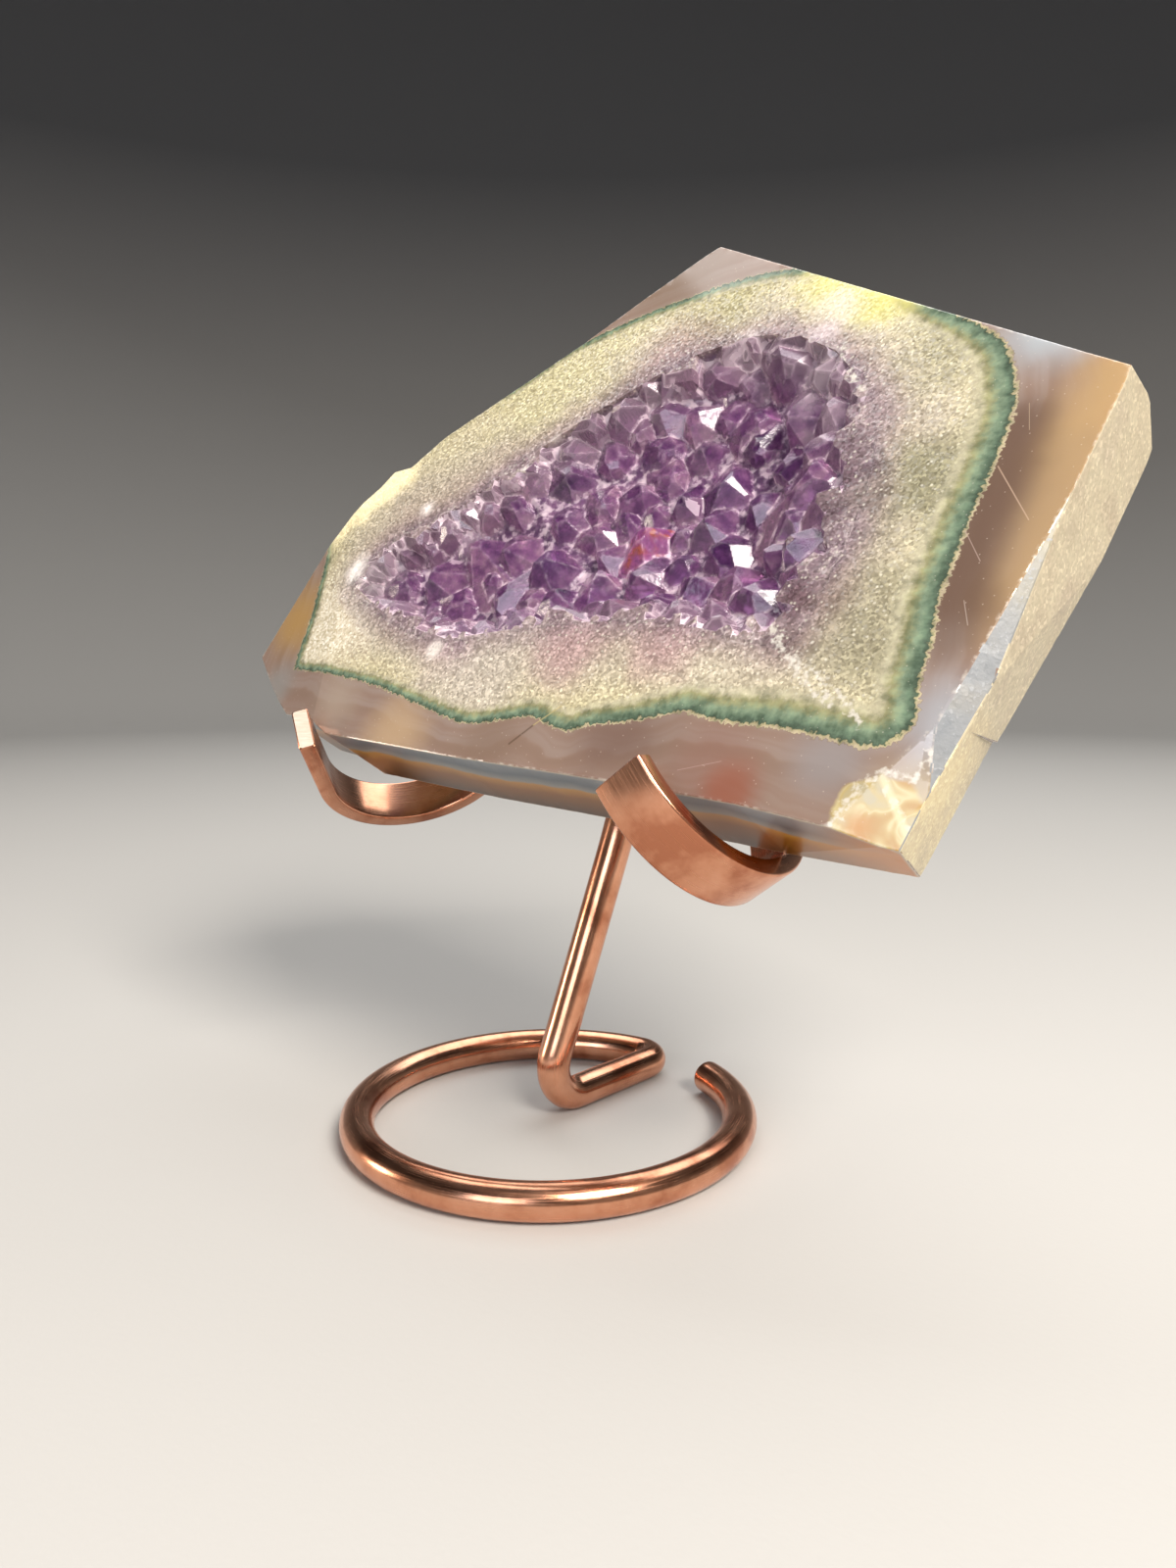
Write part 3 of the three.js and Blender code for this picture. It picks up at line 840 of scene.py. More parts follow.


# Stains in the agate, and two patches of painted reflection: a spot, or the two ends of a seam, as across,
# up, out; then reach, colour, strength
AGATE_STAINS_AND_PAINTED_REFLECTION = [
    ((4, 108, 0), 24, "#7a685a", 0.8),
    ((82, 42, 0), 24, "#786657", 0.8),
    (((91, 63, 0), (88, 52, 0)), 11.5, "#a68a63", 0.93),
    (((87.5, 50, 0), (83.5, 27, 0)), 10, "#9b8262", 0.92),
    ((82.5, 21, 0), 8, "#8c745a", 0.75),
    (((77.5, 56, 0), (75.5, 25, 0)), 10, "#5e4a3f", 0.87),
    ((76, 19, 0), 7, "#6f5f56", 0.7),
    # The next two bluish-grey patches, at the upper right, are a painted reflection of a bright sky on the
    # polish, not stains
    ((79, 74, 0), 13, "#9ca2a7", 0.95),
    ((62, 86, 0), 20, "#98a0a8", 0.8),
    ((80, 7, 0), 13, "#97989c", 0.9),
    ((64, 0, 0), 11, "#86807f", 0.8),
    ((28, 1.5, 0), 16, "#6c574e", 0.85),
    ((0, -2, 0), 12, "#786457", 0.7),
    ((45, -2, 0), 13, "#7d5c52", 0.5),
    ((50.5, -6, 0), 8, "#86513f", 0.75),
    ((34, -7, 0), 8, "#96644e", 0.7),
    ((-24, 1, 0), 13, "#ab9274", 0.8),
    ((-45, 6, 0), 12, "#988a7c", 0.75),
    ((-71, 26, 0), 16, "#a08050", 0.95),
    ((-70, 10, -2), 11, "#85827e", 0.85),
    ((75.5, -5.5, -2), 11, "#a99c7e", 0.95),
]
# The chipped lower right corner: the middle of its amber, and a darker amber spot in it
CHIPPED_CORNER = (72.6, -7.5, -1)
CORNER_STAINS = [((70, -8.5, -1.5), 3.4, "#a5742c", 0.85)]
# Warmer patches of the sawn side, the chamfer and the underside
SAWN_STAINS = [((86, -4, -9), 22, "#dccda2", 1.0), ((86, 7.5, -9), 3.5, "#f2e6c6", 0.9)]
CHAMFER_STAINS = [((88, 46, -1), 30, "#989078", 0.9)]
UNDERSIDE_STAINS = [((78, -10, -12), 34, "#b26c10", 1.0)]
# Stains in the quartz inside the rind
QUARTZ_STAINS = [
    ((-58, 24, 0), 24, "#d6cfbf", 0.9),
    ((-20, 84, 0), 28, "#bfba96", 0.85),
    ((15, 93, 0), 18, "#a5a07a", 0.8),
    ((-10, 12, 0), 26, "#b9b1a7", 0.85),
    ((40, 12, 0), 16, "#bcb4a3", 0.7),
    ((64, 22, 0), 17, "#8a8670", 0.85),
    ((67, 48, 0), 19, "#86836b", 0.9),
    ((64, 74, 0), 15, "#969278", 0.8),
    ((53, 42, 0), 13, "#766871", 0.85),
    ((52, 62, 0), 11, "#83757a", 0.75),
    ((49, 50, 0), 9, "#665164", 0.8),
    ((51, 62, 0), 7, "#6f5c69", 0.7),
    ((51, 27, 0), 6.5, "#5d4456", 0.85),
    ((53, 37, 0), 6, "#6b5766", 0.75),
    ((8, 84, 0), 15, "#9a7f88", 0.6),
    ((10, 19, 0), 14, "#a98a90", 0.7),
    ((30, 19, 0), 12, "#a98a90", 0.7),
    ((-20, 20, 0), 12, "#b097a4", 0.6),
]
# Mauve patches in the sawn crystals right of the hollow
VEIL_STAINS = [
    ((51, 49, 0), 8.5, "#5d4a54", 0.9),
    ((50.5, 43, 0), 8.5, "#55434c", 0.9),
    ((47, 38, 0), 5.5, "#5c4853", 0.8),
    ((51.5, 19.5, 0), 6, "#665653", 0.75),
    ((52, 57, 0), 6, "#62505a", 0.8),
    ((51, 27, 0), 6, "#614b53", 0.85),
    ((57, 27, 0), 7, "#75655f", 0.6),
    ((58.5, 46, 0), 7, "#726762", 0.7),
]
# Paler and darker patches among the crystals
CRYSTAL_STAINS = [
    ((-52, 36, 0), 8, "#dccfd0", 0.8),
    ((-40, 32, 0), 8, "#c3abc2", 0.7),
    (((-22, 27, 0), (-4, 25, 0)), 8, "#bda4c0", 0.8),
    (((8, 25, 0), (32, 26, 0)), 8.5, "#b08fa8", 0.8),
    ((25, 77, 0), 9, "#e2c6d8", 0.9),
    ((39, 73, 0), 11, "#e8d2df", 0.9),
    ((44, 63, 0), 9, "#d8bccd", 0.85),
    ((-14, 62, 0), 9, "#b193a9", 0.65),
    ((2, 71, 0), 9, "#ac8da4", 0.65),
    ((-33, 49, 0), 8, "#b396ab", 0.6),
    ((26, 55, -4), 7, "#6a4a8c", 0.6),
    ((-8, 41, -3), 7, "#6c4484", 0.5),
]
# Cream crusts of rough stone at the top edge and at the left end
CREAM_CRUSTS = [
    (((38, 95, 0), (50, 88, 0)), 11, "#c6c07a", 1.0),
    ((41, 88, 0), 8, "#cdc5b2", 0.8),
    ((40, 82, 0), 5, "#c3b4b6", 0.8),
    (((-70, 51, 0), (-57, 62, 0)), 8.5, "#f7eabd", 1.0),
    ((-18.5, 58.5, 0), 2.8, "#efe9e2", 0.9),
    ((-43, 52.4, 0), 3.2, "#ece2dc", 0.9),
    ((-14, 66, 0), 2.4, "#e0d8d0", 0.8),
    ((16, 79.5, 0), 3, "#e6dcd6", 0.8),
    ((25, 84.5, 0), 3, "#dccfcc", 0.8),
    ((-57, 38, 0), 5, "#f2ebe4", 0.9),
    ((-23, 18, 0), 3.4, "#e2dad2", 0.85),
]


def gap_to(tree, place, start, end=None):
    """Distance in mm from each place to a spot, or to the nearest point on the line from start to end."""
    if end is None:
        return add(tree, "VectorMath", [place, start], operation="DISTANCE")
    along = Vector(end) - Vector(start)
    offset = add(tree, "VectorMath", [place, start], operation="SUBTRACT")
    share = add(tree, "VectorMath", [offset, along / along.length_squared], operation="DOT_PRODUCT")
    share = add(tree, "Clamp", [share])
    foot = add(tree, "VectorMath", [along, share], operation="SCALE")
    return add(tree, "VectorMath", [offset, foot], operation="DISTANCE")


def with_patches(tree, at, colour, patch_list, edge_noise):
    """The colour with each patch, a stain or a painted reflection, laid over it, soft, and with its edge
    broken up by a noise.
    """
    soft = {"interpolation_type": "SMOOTHERSTEP"}
    for middle, reach, code, strength in patch_list:
        ends = middle if isinstance(middle[0], tuple) else (middle,)
        gap = gap_to(tree, at["place"], *ends)
        gap = add(tree, "Math", [edge_noise, 0.9 * reach, gap], operation="MULTIPLY_ADD")
        share = add(tree, "MapRange", [gap, 0.45 * reach, 1.45 * reach, strength, 0], **soft)
        colour = add(tree, "Mix", [share, colour, code], data_type="RGBA")
    return colour


def agate_colour(tree, at):
    """Chalcedony: grey-mauve to brown, softly banded along the rind, with patches of amber and bluish stain,
    and a painted bluish sky reflection at the upper right.
    """
    warp = add(tree, "TexNoise", {"Vector": at["place"], "Detail": 3}, size=20)
    bent = add(tree, "Math", [warp, 9, at["depth"]], operation="MULTIPLY_ADD")
    bands = add(tree, "TexNoise", {"W": bent, "Detail": 2}, size=2.857, noise_dimensions="1D")
    colour = add(tree, "ValToRGB", [bands], stops=[
        (0.25, "#7f6a5d"), (0.45, "#846f63"), (0.6, "#89776d"), (0.8, "#8e8078"),
    ])
    colour = with_patches(tree, at, colour, AGATE_STAINS_AND_PAINTED_REFLECTION, warp)
    # Curdled cream lines in the amber of the chipped corner
    curdled = add(tree, "TexNoise", {"Vector": at["place"], "Detail": 2, "Distortion": 1.4}, size=6.667)
    curdled = add(tree, "ValToRGB", [curdled], stops=[
        (0.36, "#a07c38"), (0.46, "#ab945a"), (0.51, "#bbae82"), (0.56, "#ac9b68"), (0.66, "#a39a7c"),
    ])
    gap = gap_to(tree, at["place"], CHIPPED_CORNER)
    gap = add(tree, "Math", [bands, 2.5, gap], operation="MULTIPLY_ADD")
    share = add(tree, "MapRange", [gap, 7.9, 7.2, 0, 0.9])
    colour = add(tree, "Mix", [share, colour, curdled], data_type="RGBA")
    return with_patches(tree, at, colour, CORNER_STAINS, bands)


def quartz_colour(tree, at, grains):
    """Sugary quartz: cream by the rind, greyer and mauve towards the hollow, each grain a bit different, the
    whitest grains a painted glint.
    """
    clouds = add(tree, "TexNoise", {"Vector": at["place"], "Detail": 4}, size=9.091)
    hollow = add(tree, "Math", [at["hollow"], 0], operation="MAXIMUM")
    whole = add(tree, "Math", [hollow, at["depth"]], operation="ADD")
    share = add(tree, "Math", [at["depth"], whole], operation="DIVIDE")
    share = add(tree, "Mix", [0.28, share, clouds])
    zone = add(tree, "ValToRGB", [share], stops=[
        (0.16, "#b0a985"), (0.35, "#c0b99d"), (0.6, "#b2a999"), (0.78, "#a6988f"), (0.9, "#927f88"),
    ])
    zone = with_patches(tree, at, zone, QUARTZ_STAINS, clouds)
    # A mauve haze, gone about 5 mm from the hollow, shows the crystals that the saw went through: each is
    # about 4 mm wide, with its own tone and a pale broken outline
    haze = add(tree, "Math", [clouds, 7, at["hollow"]], operation="MULTIPLY_ADD")
    haze = add(tree, "MapRange", [haze, 9, 2.6, 0, 0.8])
    sawn_crystal = 4.167
    bend = add(tree, "TexNoise", {"Vector": at["place"], "Detail": 3}, size=2.857).outputs["Color"]
    bent = add(tree, "VectorMath", [bend, (4, 4, 4), at["place"]], operation="MULTIPLY_ADD")
    sawn = add(tree, "TexVoronoi", {"Vector": bent}, size=sawn_crystal).outputs["Color"]
    tone = add(tree, "Mix", [0.6, add(tree, "SeparateXYZ", [sawn]), clouds])
    veil = add(tree, "ValToRGB", [tone], stops=[(0.25, "#625060"), (0.5, "#84737b"), (0.72, "#a29294")])
    zone = add(tree, "Mix", [haze, zone, veil], data_type="RGBA")
    outline = add(tree, "TexVoronoi", {"Vector": bent}, size=sawn_crystal, feature="DISTANCE_TO_EDGE")
    outline = add(tree, "MapRange", [outline, 0.07, 0.01, 0, 0.6])
    outline = add(tree, "Math", [outline, haze], operation="MULTIPLY")
    zone = add(tree, "Mix", [outline, zone, "#c8bcbc"], data_type="RGBA")
    zone = with_patches(tree, at, zone, VEIL_STAINS, clouds)
    # Under the face the hollow's wall is milky amethyst
    below = add(tree, "SeparateXYZ", [at["place"]]).outputs["Z"]
    inner = add(tree, "MapRange", [at["hollow"], 0.5, -1])
    under = add(tree, "MapRange", [below, -0.4, -2, 0, 0.9])
    under = add(tree, "Math", [under, inner], operation="MULTIPLY")
    milky = add(tree, "ValToRGB", [clouds], stops=[(0.35, "#5d4270"), (0.55, "#785b88"), (0.7, "#a391a6")])
    zone = add(tree, "Mix", [under, zone, milky], data_type="RGBA")
    # Grain tones; the white top of the ramp is painted glints on single grains
    grain_tone_and_glints = add(tree, "ValToRGB", [grains], stops=[
        (0.1, "#8a867f"), (0.38, "#a6a39e"), (0.66, "#b8b6b2"), (0.82, "#d2d0cc"), (1, "#ffffff"),
    ])
    zone = add(tree, "Mix", [0.72, zone, grain_tone_and_glints], data_type="RGBA", blend_type="OVERLAY")
    fleck = add(tree, "TexVoronoi", {"Vector": at["place"]}, size=1.25)
    fleck = add(tree, "MapRange", [fleck, 0.24, 0.12, 0, 0.5])
    return add(tree, "Mix", [fleck, zone, "#d9d5c6"], data_type="RGBA")


def rind_depth(tree, at):
    """Depth in mm inside the rind's ragged outer line, counted faster where the rind is thin."""
    jag = add(tree, "TexNoise", {"Vector": at["place"], "Detail": 4}, size=0.9091)
    comb = add(tree, "CombineXYZ", [at["run"], at["depth"]])
    comb = add(tree, "Mapping", {"Vector": comb, "Scale": (1.5, 0.45, 1)})
    comb = add(tree, "TexNoise", {"Vector": comb, "Detail": 2}, size=1)
    mm_in = add(tree, "Math", [jag, 1.8, at["depth"]], operation="MULTIPLY_ADD")
    mm_in = add(tree, "Math", [comb, 1.4, mm_in], operation="MULTIPLY_ADD")
    mm_in = add(tree, "Math", [mm_in, 1.6], operation="SUBTRACT")
    # The rind is thinner at the left and on top
    across, up = add(tree, "SeparateXYZ", [at["place"]]).outputs[:2]
    above = add(tree, "Math", [up, 40], operation="SUBTRACT")
    above = add(tree, "Math", [above, 0], operation="MAXIMUM")
    sideways = add(tree, "Math", [above, -0.9, across], operation="MULTIPLY_ADD")
    squeeze = add(tree, "MapRange", [sideways, -40, 50, 1.9, 0.72])
    return add(tree, "Math", [mm_in, squeeze], operation="MULTIPLY")


def band_colour(tree, at, mm_in):
    """The rind from outside in: a thin cream line, dark teal green, olive, then cream, a little mottled."""
    low, high = -1, 7
    share = add(tree, "MapRange", [mm_in, low, high])
    stops = [
        (-0.3, "#6b5646"), (-0.14, "#a79b84"), (0.1, "#97906f"), (0.25, "#475447"), (0.9, "#5e705e"),
        (1.7, "#75856f"), (2.3, "#80876a"), (2.9, "#868463"), (3.9, "#aaa58e"), (5, "#a7a38e"),
    ]
    band = add(tree, "ValToRGB", [share], stops=[((mm - low) / (high - low), code) for mm, code in stops])
    mottle = add(tree, "TexNoise", {"Vector": at["place"], "Detail": 5}, size=2.381)
    mottle = add(tree, "ValToRGB", [mottle], stops=[(0.36, "#6f7671"), (0.5, "#b8b8b8"), (0.66, "#e2e4e0")])
    return add(tree, "Mix", [0.55, band, mottle], data_type="RGBA", blend_type="OVERLAY")


def frosting(tree, at):
    """How frosted the polish is: rubbed along the ground edges, and crumbled close to a crack."""
    edge = add(tree, "MapRange", [at["arris"], 0.5, 0.1, 0, 0.5])
    rubbed = add(tree, "TexNoise", {"Vector": at["place"], "Detail": 4}, size=1.25)
    rubbed = add(tree, "MapRange", [rubbed, 0.5, 0.66])
    edge = add(tree, "Math", [edge, rubbed], operation="MULTIPLY")
    crumbled = add(tree, "TexNoise", {"Vector": at["place"], "Detail": 3}, size=1)
    crumbled = add(tree, "Math", [crumbled, 3.6, at["crack"]], operation="MULTIPLY_ADD")
    crumbled = add(tree, "MapRange", [crumbled, 2.45, 1.7, 0, 0.85])
    return add(tree, "Math", [edge, crumbled], operation="MAXIMUM")


def glinting(tree, grain_colours, share):
    """The facing of each sawn grain, tilted its own way, so that single grains catch the light."""
    tilt = add(tree, "VectorMath", [grain_colours, (0.5, 0.5, 0.5)], operation="SUBTRACT")
    amount = add(tree, "Math", [share, 0.42], operation="MULTIPLY")
    tilt = add(tree, "VectorMath", [tilt, amount], operation="SCALE")
    facing = add(tree, "NewGeometry").outputs["Normal"]
    facing = add(tree, "VectorMath", [facing, tilt], operation="ADD")
    return add(tree, "VectorMath", [facing], operation="NORMALIZE")


def near_line(tree, place, start, end, half_width):
    """How much of a hairline lies at each place: most on the line from start to end, and none beside it."""
    gap = gap_to(tree, place, start, end)
    return add(tree, "MapRange", [gap, half_width, half_width * 0.3, 0, 0.6])


def polished_agate(tree):
    """Agate cut and polished to a glassy face, with its green rind and the sawn sugary quartz inside it."""
    at = stone_places(tree)
    mm_in = rind_depth(tree, at)
    in_band = add(tree, "MapRange", [mm_in, -0.32, -0.2])
    in_quartz = add(tree, "MapRange", [mm_in, 3.4, 5.2])
    # The grains are finer in the real quartz, and are drawn as coarse as they need to show
    grain_colours = add(tree, "TexVoronoi", {"Vector": at["place"]}, size=0.4167).outputs["Color"]
    clumps = add(tree, "TexNoise", {"Vector": at["place"], "Detail": 4}, size=1.111)
    grains = add(tree, "Mix", [0.3, add(tree, "SeparateXYZ", [grain_colours]), clumps])
    colour = agate_colour(tree, at)
    colour = add(tree, "Mix", [in_band, colour, band_colour(tree, at, mm_in)], data_type="RGBA")
    colour = add(tree, "Mix", [in_quartz, colour, quartz_colour(tree, at, grains)], data_type="RGBA")
    broken = add(tree, "TexNoise", {"Vector": at["place"], "Detail": 5}, size=4.545)
    colour = with_patches(tree, at, colour, CREAM_CRUSTS, broken)
    frost = frosting(tree, at)
    colour = add(tree, "Mix", [frost, colour, "#cbc6bc"], data_type="RGBA")
    # Dust specks of about 0.2 mm on the polish
    dust = add(tree, "TexVoronoi", {"Vector": at["place"]}, size=1.176)
    dust = add(tree, "MapRange", [dust, 0.12, 0.04, 0, 0.35])
    colour = add(tree, "Mix", [dust, colour, "#d2c8ba"], data_type="RGBA")
    for start, end, half_width, code in HAIRLINES:
        share = near_line(tree, at["place"], start, end, half_width)
        colour = add(tree, "Mix", [share, colour, code], data_type="RGBA")
    rough_in = add(tree, "Math", [in_quartz, frost], operation="MAXIMUM")
    return [add(tree, "BsdfPrincipled", QUARTZ | {
        "Base Color": colour,
        "Roughness": add(tree, "MapRange", [rough_in, 0, 1, 0.1, 0.3]),
        "Normal": glinting(tree, grain_colours, in_quartz),
        "Subsurface Weight": 0.25,
        "Subsurface Scale": 4 * MM,
    })]


def sawn_agate(tree):
    """Agate left from the saw: cream and matt, with fine grit and faint lines of the blade."""
    at = stone_places(tree)
    # The grit is finer in the real one, and is drawn as coarse as it needs to show
    grit = add(tree, "TexVoronoi", {"Vector": at["place"]}, size=0.4762).outputs["Color"]
    grit = add(tree, "SeparateXYZ", [grit])
    clouds = add(tree, "TexNoise", {"Vector": at["place"], "Detail": 5}, size=8.333)
    colour = add(tree, "ValToRGB", [clouds], stops=[(0.32, "#ada18c"), (0.5, "#bab098"), (0.68, "#b0a490")])
    colour = with_patches(tree, at, colour, SAWN_STAINS, clouds)
    fleck = add(tree, "ValToRGB", [grit], stops=[
        (0, "#8a857c"), (0.5, "#b4b1ab"), (0.85, "#cfccc6"), (1, "#ffffff"),
    ])
    colour = add(tree, "Mix", [0.32, colour, fleck], data_type="RGBA", blend_type="OVERLAY")
    blade = add(tree, "Mapping", {"Vector": at["place"], "Rotation": (0, 0, 0.3), "Scale": (0.1, 1.2, 0.3)})
    lines = add(tree, "TexNoise", {"Vector": blade, "Detail": 3}, size=0.6667)
    height = add(tree, "Math", [grit, 0.35, lines], operation="MULTIPLY_ADD")
    return [add(tree, "BsdfPrincipled", QUARTZ | {
        "Base Color": colour,
        "Roughness": 0.45,
        "Normal": add(tree, "Bump", {"Height": height, "Strength": 0.3, "Distance": 0.2 * MM}),
        "Subsurface Weight": 0.15,
        "Subsurface Scale": 3 * MM,
    })]


def frosted_chamfer(tree):
    """The ground strip between face and sawn side: bluish white, half polished, with small bright chips."""
    at = stone_places(tree)
    clouds = add(tree, "TexNoise", {"Vector": at["place"], "Detail": 5}, size=6.667)
    colour = add(tree, "ValToRGB", [clouds], stops=[(0.3, "#70757a"), (0.5, "#7b7e80"), (0.7, "#82807a")])
    colour = with_patches(tree, at, colour, CHAMFER_STAINS, clouds)
    chips = add(tree, "TexNoise", {"Vector": at["place"], "Detail": 5}, size=0.7692)
    chipped = add(tree, "MapRange", [chips, 0.6, 0.7])
    return [add(tree, "BsdfPrincipled", QUARTZ | {
        "Base Color": add(tree, "Mix", [chipped, colour, "#96989a"], data_type="RGBA"),
        "Roughness": add(tree, "MapRange", [chipped, 0, 1, 0.42, 0.6]),
        "Normal": add(tree, "Bump", {"Height": chips, "Strength": 0.3, "Distance": 0.2 * MM}),
        "Subsurface Weight": 0.3,
        "Subsurface Radius": (1.0, 0.9, 0.8),
        "Subsurface Scale": 3 * MM,
    })]


def underside_with_painted_shade(tree):
    """The polished lower edge: a blue-grey layer under the face, then clear amber down to the back, both
    painted dark as painted shade and a painted reflection of a dark ground.
    """
    at = stone_places(tree)
    sway = add(tree, "Mapping", {"Vector": at["place"], "Scale": (1 / 20, 1 / 20, 1 / 50)})
    sway = add(tree, "TexNoise", {"Vector": sway, "Detail": 4}, size=1)
    out = add(tree, "SeparateXYZ", [at["place"]]).outputs["Z"]
    level = add(tree, "Math", [sway, 9, out], operation="MULTIPLY_ADD")
    share = add(tree, "MapRange", [level, -14, 5])
    # The bands are the stone's own; their dark tones are painted shade and a painted dark reflection
    colour = add(tree, "ValToRGB", [share], stops=[
        (0.1, "#4a2c06"), (0.45, "#7f4e0e"), (0.62, "#ab7a2e"),
        (0.66, "#85847f"), (0.8, "#5b6268"), (1, "#7d8388"),
    ])
    colour = with_patches(tree, at, colour, UNDERSIDE_STAINS, sway)
    frost = add(tree, "MapRange", [at["arris"], 0.5, 0.1])
    return [add(tree, "BsdfPrincipled", QUARTZ | {
        "Base Color": add(tree, "Mix", [frost, colour, "#a89f92"], data_type="RGBA"),
        "Roughness": 0.28,
        "Subsurface Weight": 0.3,
        "Subsurface Radius": (1.0, 0.7, 0.4),
        "Subsurface Scale": 5 * MM,
    })]


def clear_amethyst(tree):
    """Amethyst points: clear violet quartz, glassy, paler at the roots and white along bruised edges, with a
    painted highlight on a few listed faces.
    """
    at = stone_places(tree)
    edges = add(tree, "Attribute", attribute_name="edges").outputs["Vector"]
    from_valley, from_ridge, rise = add(tree, "SeparateXYZ", [edges]).outputs
    look = add(tree, "Attribute", attribute_name="look").outputs["Vector"]
    tone, pinkness, painted_highlight = add(tree, "SeparateXYZ", [look]).outputs
    clouds = add(tree, "TexNoise", {"Vector": at["place"], "Detail": 4}, size=2.5)
    deepness = add(tree, "Math", [rise, 0.25, clouds], operation="MULTIPLY_ADD")
    deepness = add(tree, "Math", [tone, 0.2, deepness], operation="MULTIPLY_ADD")
    colour = add(tree, "ValToRGB", [deepness], stops=[
        (0.2, "#c79bb8"), (0.42, "#a06f9d"), (0.62, "#7b4c81"), (0.88, "#4e2b5c"),
    ])
    # The crystals pale over the outer 7 mm or so of the hollow
    paling = add(tree, "Math", [clouds, 5, at["hollow"]], operation="MULTIPLY_ADD")
    paling = add(tree, "MapRange", [paling, -5, 2, 0, 0.85])
    colour = add(tree, "Mix", [paling, colour, "#b99fad"], data_type="RGBA")
    colour = with_patches(tree, at, colour, CRYSTAL_STAINS, clouds)
    pink = add(tree, "TexNoise", {"Vector": at["place"], "Detail": 2}, size=2)
    pink = add(tree, "ValToRGB", [pink], stops=[(0.46, "#b868aa"), (0.6, "#cc6f9e"), (0.7, "#dd7455")])
    colour = add(tree, "Mix", [pinkness, colour, pink], data_type="RGBA")
    # Bruised white lines along the valleys, and fainter along the ridges, come and go
    wear = add(tree, "TexNoise", {"Vector": at["place"], "Detail": 3}, size=1.667)
    valley = add(tree, "MapRange", [from_valley, 0.3, 0.03, 0, 0.8])
    ridge = add(tree, "MapRange", [from_ridge, 0.2, 0.02, 0, 0.3])
    bruise_and_painted_highlight = add(tree, "Math", [valley, ridge], operation="MAXIMUM")
    worn = add(tree, "MapRange", [wear, 0.42, 0.66, 0.12, 1])
    worn = add(tree, "Math", [paling, worn], operation="MAXIMUM")
    bruise_and_painted_highlight = add(tree, "Math", [bruise_and_painted_highlight, worn], operation="MULTIPLY")
    # The listed faces get a painted highlight in the same pale colour, rougher and less clear
    bruise_and_painted_highlight = add(tree, "Math", [bruise_and_painted_highlight, painted_highlight], operation="MAXIMUM")
    crystal = add(tree, "BsdfPrincipled", {
        "Base Color": add(tree, "Mix", [bruise_and_painted_highlight, colour, "#e2cfd6"], data_type="RGBA"),
        "Roughness": add(tree, "MapRange", [bruise_and_painted_highlight, 0, 1, 0.14, 0.45]),
        "IOR": 1.544,
        "Transmission Weight": add(tree, "MapRange", [bruise_and_painted_highlight, 0, 1, 0.7, 0.05]),
        "Normal": add(tree, "Bump", {"Height": wear, "Strength": 0.3, "Distance": 0.2 * MM}),
    })
    return [crystal, add(tree, "VolumeAbsorption", {"Color": "#c58fd0", "Density": 60})]


def studio_paper(tree):
    """The sweep that the object stands on: matt pale paper with a faint tooth, darker towards the top."""
    place = add(tree, "TexCoord").outputs["Object"]
    height = add(tree, "SeparateXYZ", [place]).outputs["Z"]
    shade = add(tree, "ValToRGB", [height], stops=[(0.03, "#b4b2ae"), (0.8, "#4a4b4e")])
    tooth = add(tree, "TexNoise", {"Vector": place, "Detail": 2}, size=1.111 * MM)
    bump = add(tree, "Bump", {"Height": tooth, "Strength": 0.15, "Distance": 0.2 * MM})
    return [add(tree, "BsdfPrincipled", {"Base Color": shade, "Roughness": 0.7, "Normal": bump})]


# Studio
def build_sweep():
    """A round floor that curves up into a wall on every side, so that any view has the same quiet ground."""
    mesh = bmesh.new()
    sides, bend_steps = 96, 12
    floor_reach, bend, wall_top = 1.1, 0.5, 2.2
    wall_reach = floor_reach + bend
    profile = [(0.3, 0), (0.7, 0), (floor_reach, 0)]
    for k in range(1, bend_steps + 1):
        angle = math.pi / 2 * k / bend_steps
        profile.append((floor_reach + bend * math.sin(angle), bend - bend * math.cos(angle)))
    profile += [(wall_reach, 1.2), (wall_reach, wall_top)]
    turns = [2 * math.pi * k / sides for k in range(sides)]
    rings = []
    for reach, height in profile:
        places = [(reach * math.cos(turn), reach * math.sin(turn), height) for turn in turns]
        rings.append([mesh.verts.new(place) for place in places])
    mesh.faces.new(rings[0])
    skin(mesh, rings, turned=True)
    bmesh.ops.recalc_face_normals(mesh, faces=mesh.faces[:])
    make_object("studio_sweep", mesh, [finished(studio_paper)], smooth=True)


def place_lamp(name, towards, reach, size, power, colour):
    """A soft box at a distance from the middle of the stone, facing it."""
    middle = RING_FRAME @ Vector((0, 0, 85))
    direction = Vector(towards).normalized()
    lamp = bpy.data.lights.new(name, "AREA")
    lamp.shape = "RECTANGLE"
    lamp.size, lamp.size_y = size
    lamp.energy = power
    lamp.color = linear(colour)[:3]
    holder = bpy.data.objects.new(name, lamp)
    holder.location = middle + direction * reach
    holder.rotation_euler = (-direction).to_track_quat("-Z", "Y").to_euler()
    bpy.context.scene.collection.objects.link(holder)


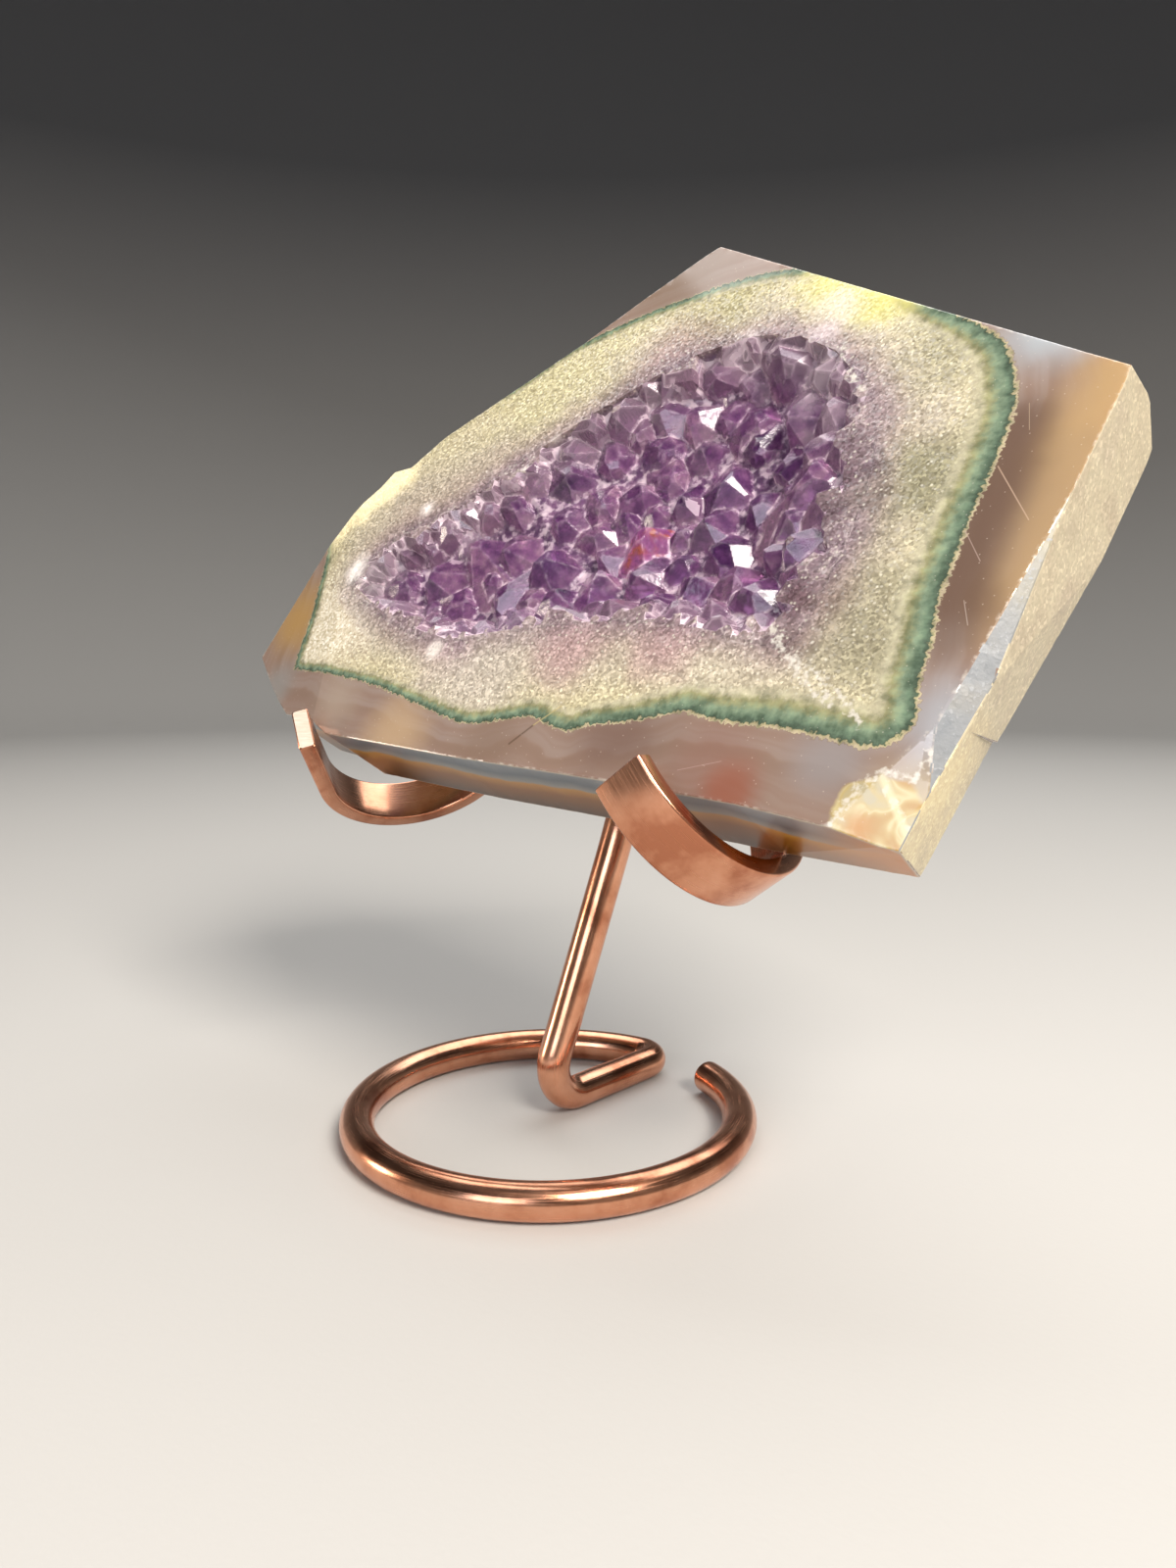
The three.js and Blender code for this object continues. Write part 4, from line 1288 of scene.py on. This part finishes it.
def light_studio():
    """Soft light from the upper right and behind, a weaker fill in front, and a dim grey room."""
    place_lamp("key_right", (0.85, -0.25, 0.8), 0.9, (0.4, 0.4), 15, "#fff8f0")
    place_lamp("fill_front", (0.35, -1, 0.35), 1.1, (0.5, 0.5), 4, "#f2f5ff")
    place_lamp("low_left", (-0.75, -0.65, 0.1), 1.0, (0.22, 0.22), 2.5, "#ffeedd")
    place_lamp("overhead", (-0.25, 0.5, 1), 1.0, (1.2, 0.9), 9.5, "#ffffff")
    world = bpy.data.worlds.new("room")
    world.use_nodes = True
    room = world.node_tree.nodes["Background"]
    room.inputs["Color"].default_value = linear("#c4c6ca")
    room.inputs["Strength"].default_value = 0.22
    bpy.context.scene.world = world
    bpy.context.scene.view_settings.view_transform = "Standard"


def place_camera():
    """The photo's viewpoint: a wide lens close to the stone, held level."""
    lens = bpy.data.cameras.new("camera")
    lens.lens = CAMERA_LENS
    lens.sensor_fit = "AUTO"
    lens.sensor_width = FILM_LONG_SIDE
    lens.clip_start = 0.01
    camera = bpy.data.objects.new("camera", lens)
    camera.location = RING_FRAME @ Vector(CAMERA_AT)
    camera.rotation_euler = Vector(CAMERA_LOOKS).to_track_quat("-Z", "Y").to_euler()
    bpy.context.scene.collection.objects.link(camera)
    bpy.context.scene.camera = camera


# Assembly
def main():
    copper = finished(drawn_copper)
    cut_copper_painted_highlight = finished(sheared_copper_painted_highlight)
    polished = finished(polished_agate)
    stone = [polished, finished(sawn_agate), finished(underside_with_painted_shade), finished(frosted_chamfer)]
    amethyst = finished(clear_amethyst)

    rod_mesh, drawn = sweep_rod(evenly_filled(rod_centreline(), 2.5), ROD_RADIUS)
    rod = make_piece(
        "foot_ring_and_stem", rod_mesh, RING_FRAME, [copper], "base_ring_and_stem", smooth=True,
    )
    store(rod, "drawn", drawn)
    bar = [copper, cut_copper_painted_highlight]
    make_piece("hooked_arms", build_cradle(), CRADLE_FRAME, bar, "cradle_arms", smooth=True)

    slab_mesh, lines = build_slab()
    from_arris = distance_to_lines(np.array([vertex.co for vertex in slab_mesh.verts]), lines)
    slab = make_piece("agate_slice", slab_mesh, SLAB_FRAME, stone, "agate_slab")
    store_stone_places(slab, from_arris)
    points = [amethyst, polished]
    crust = make_piece("amethyst_points", build_crust(), SLAB_FRAME, points, "amethyst_crust")
    store_stone_places(crust)

    build_sweep()
    light_studio()
    place_camera()


main()
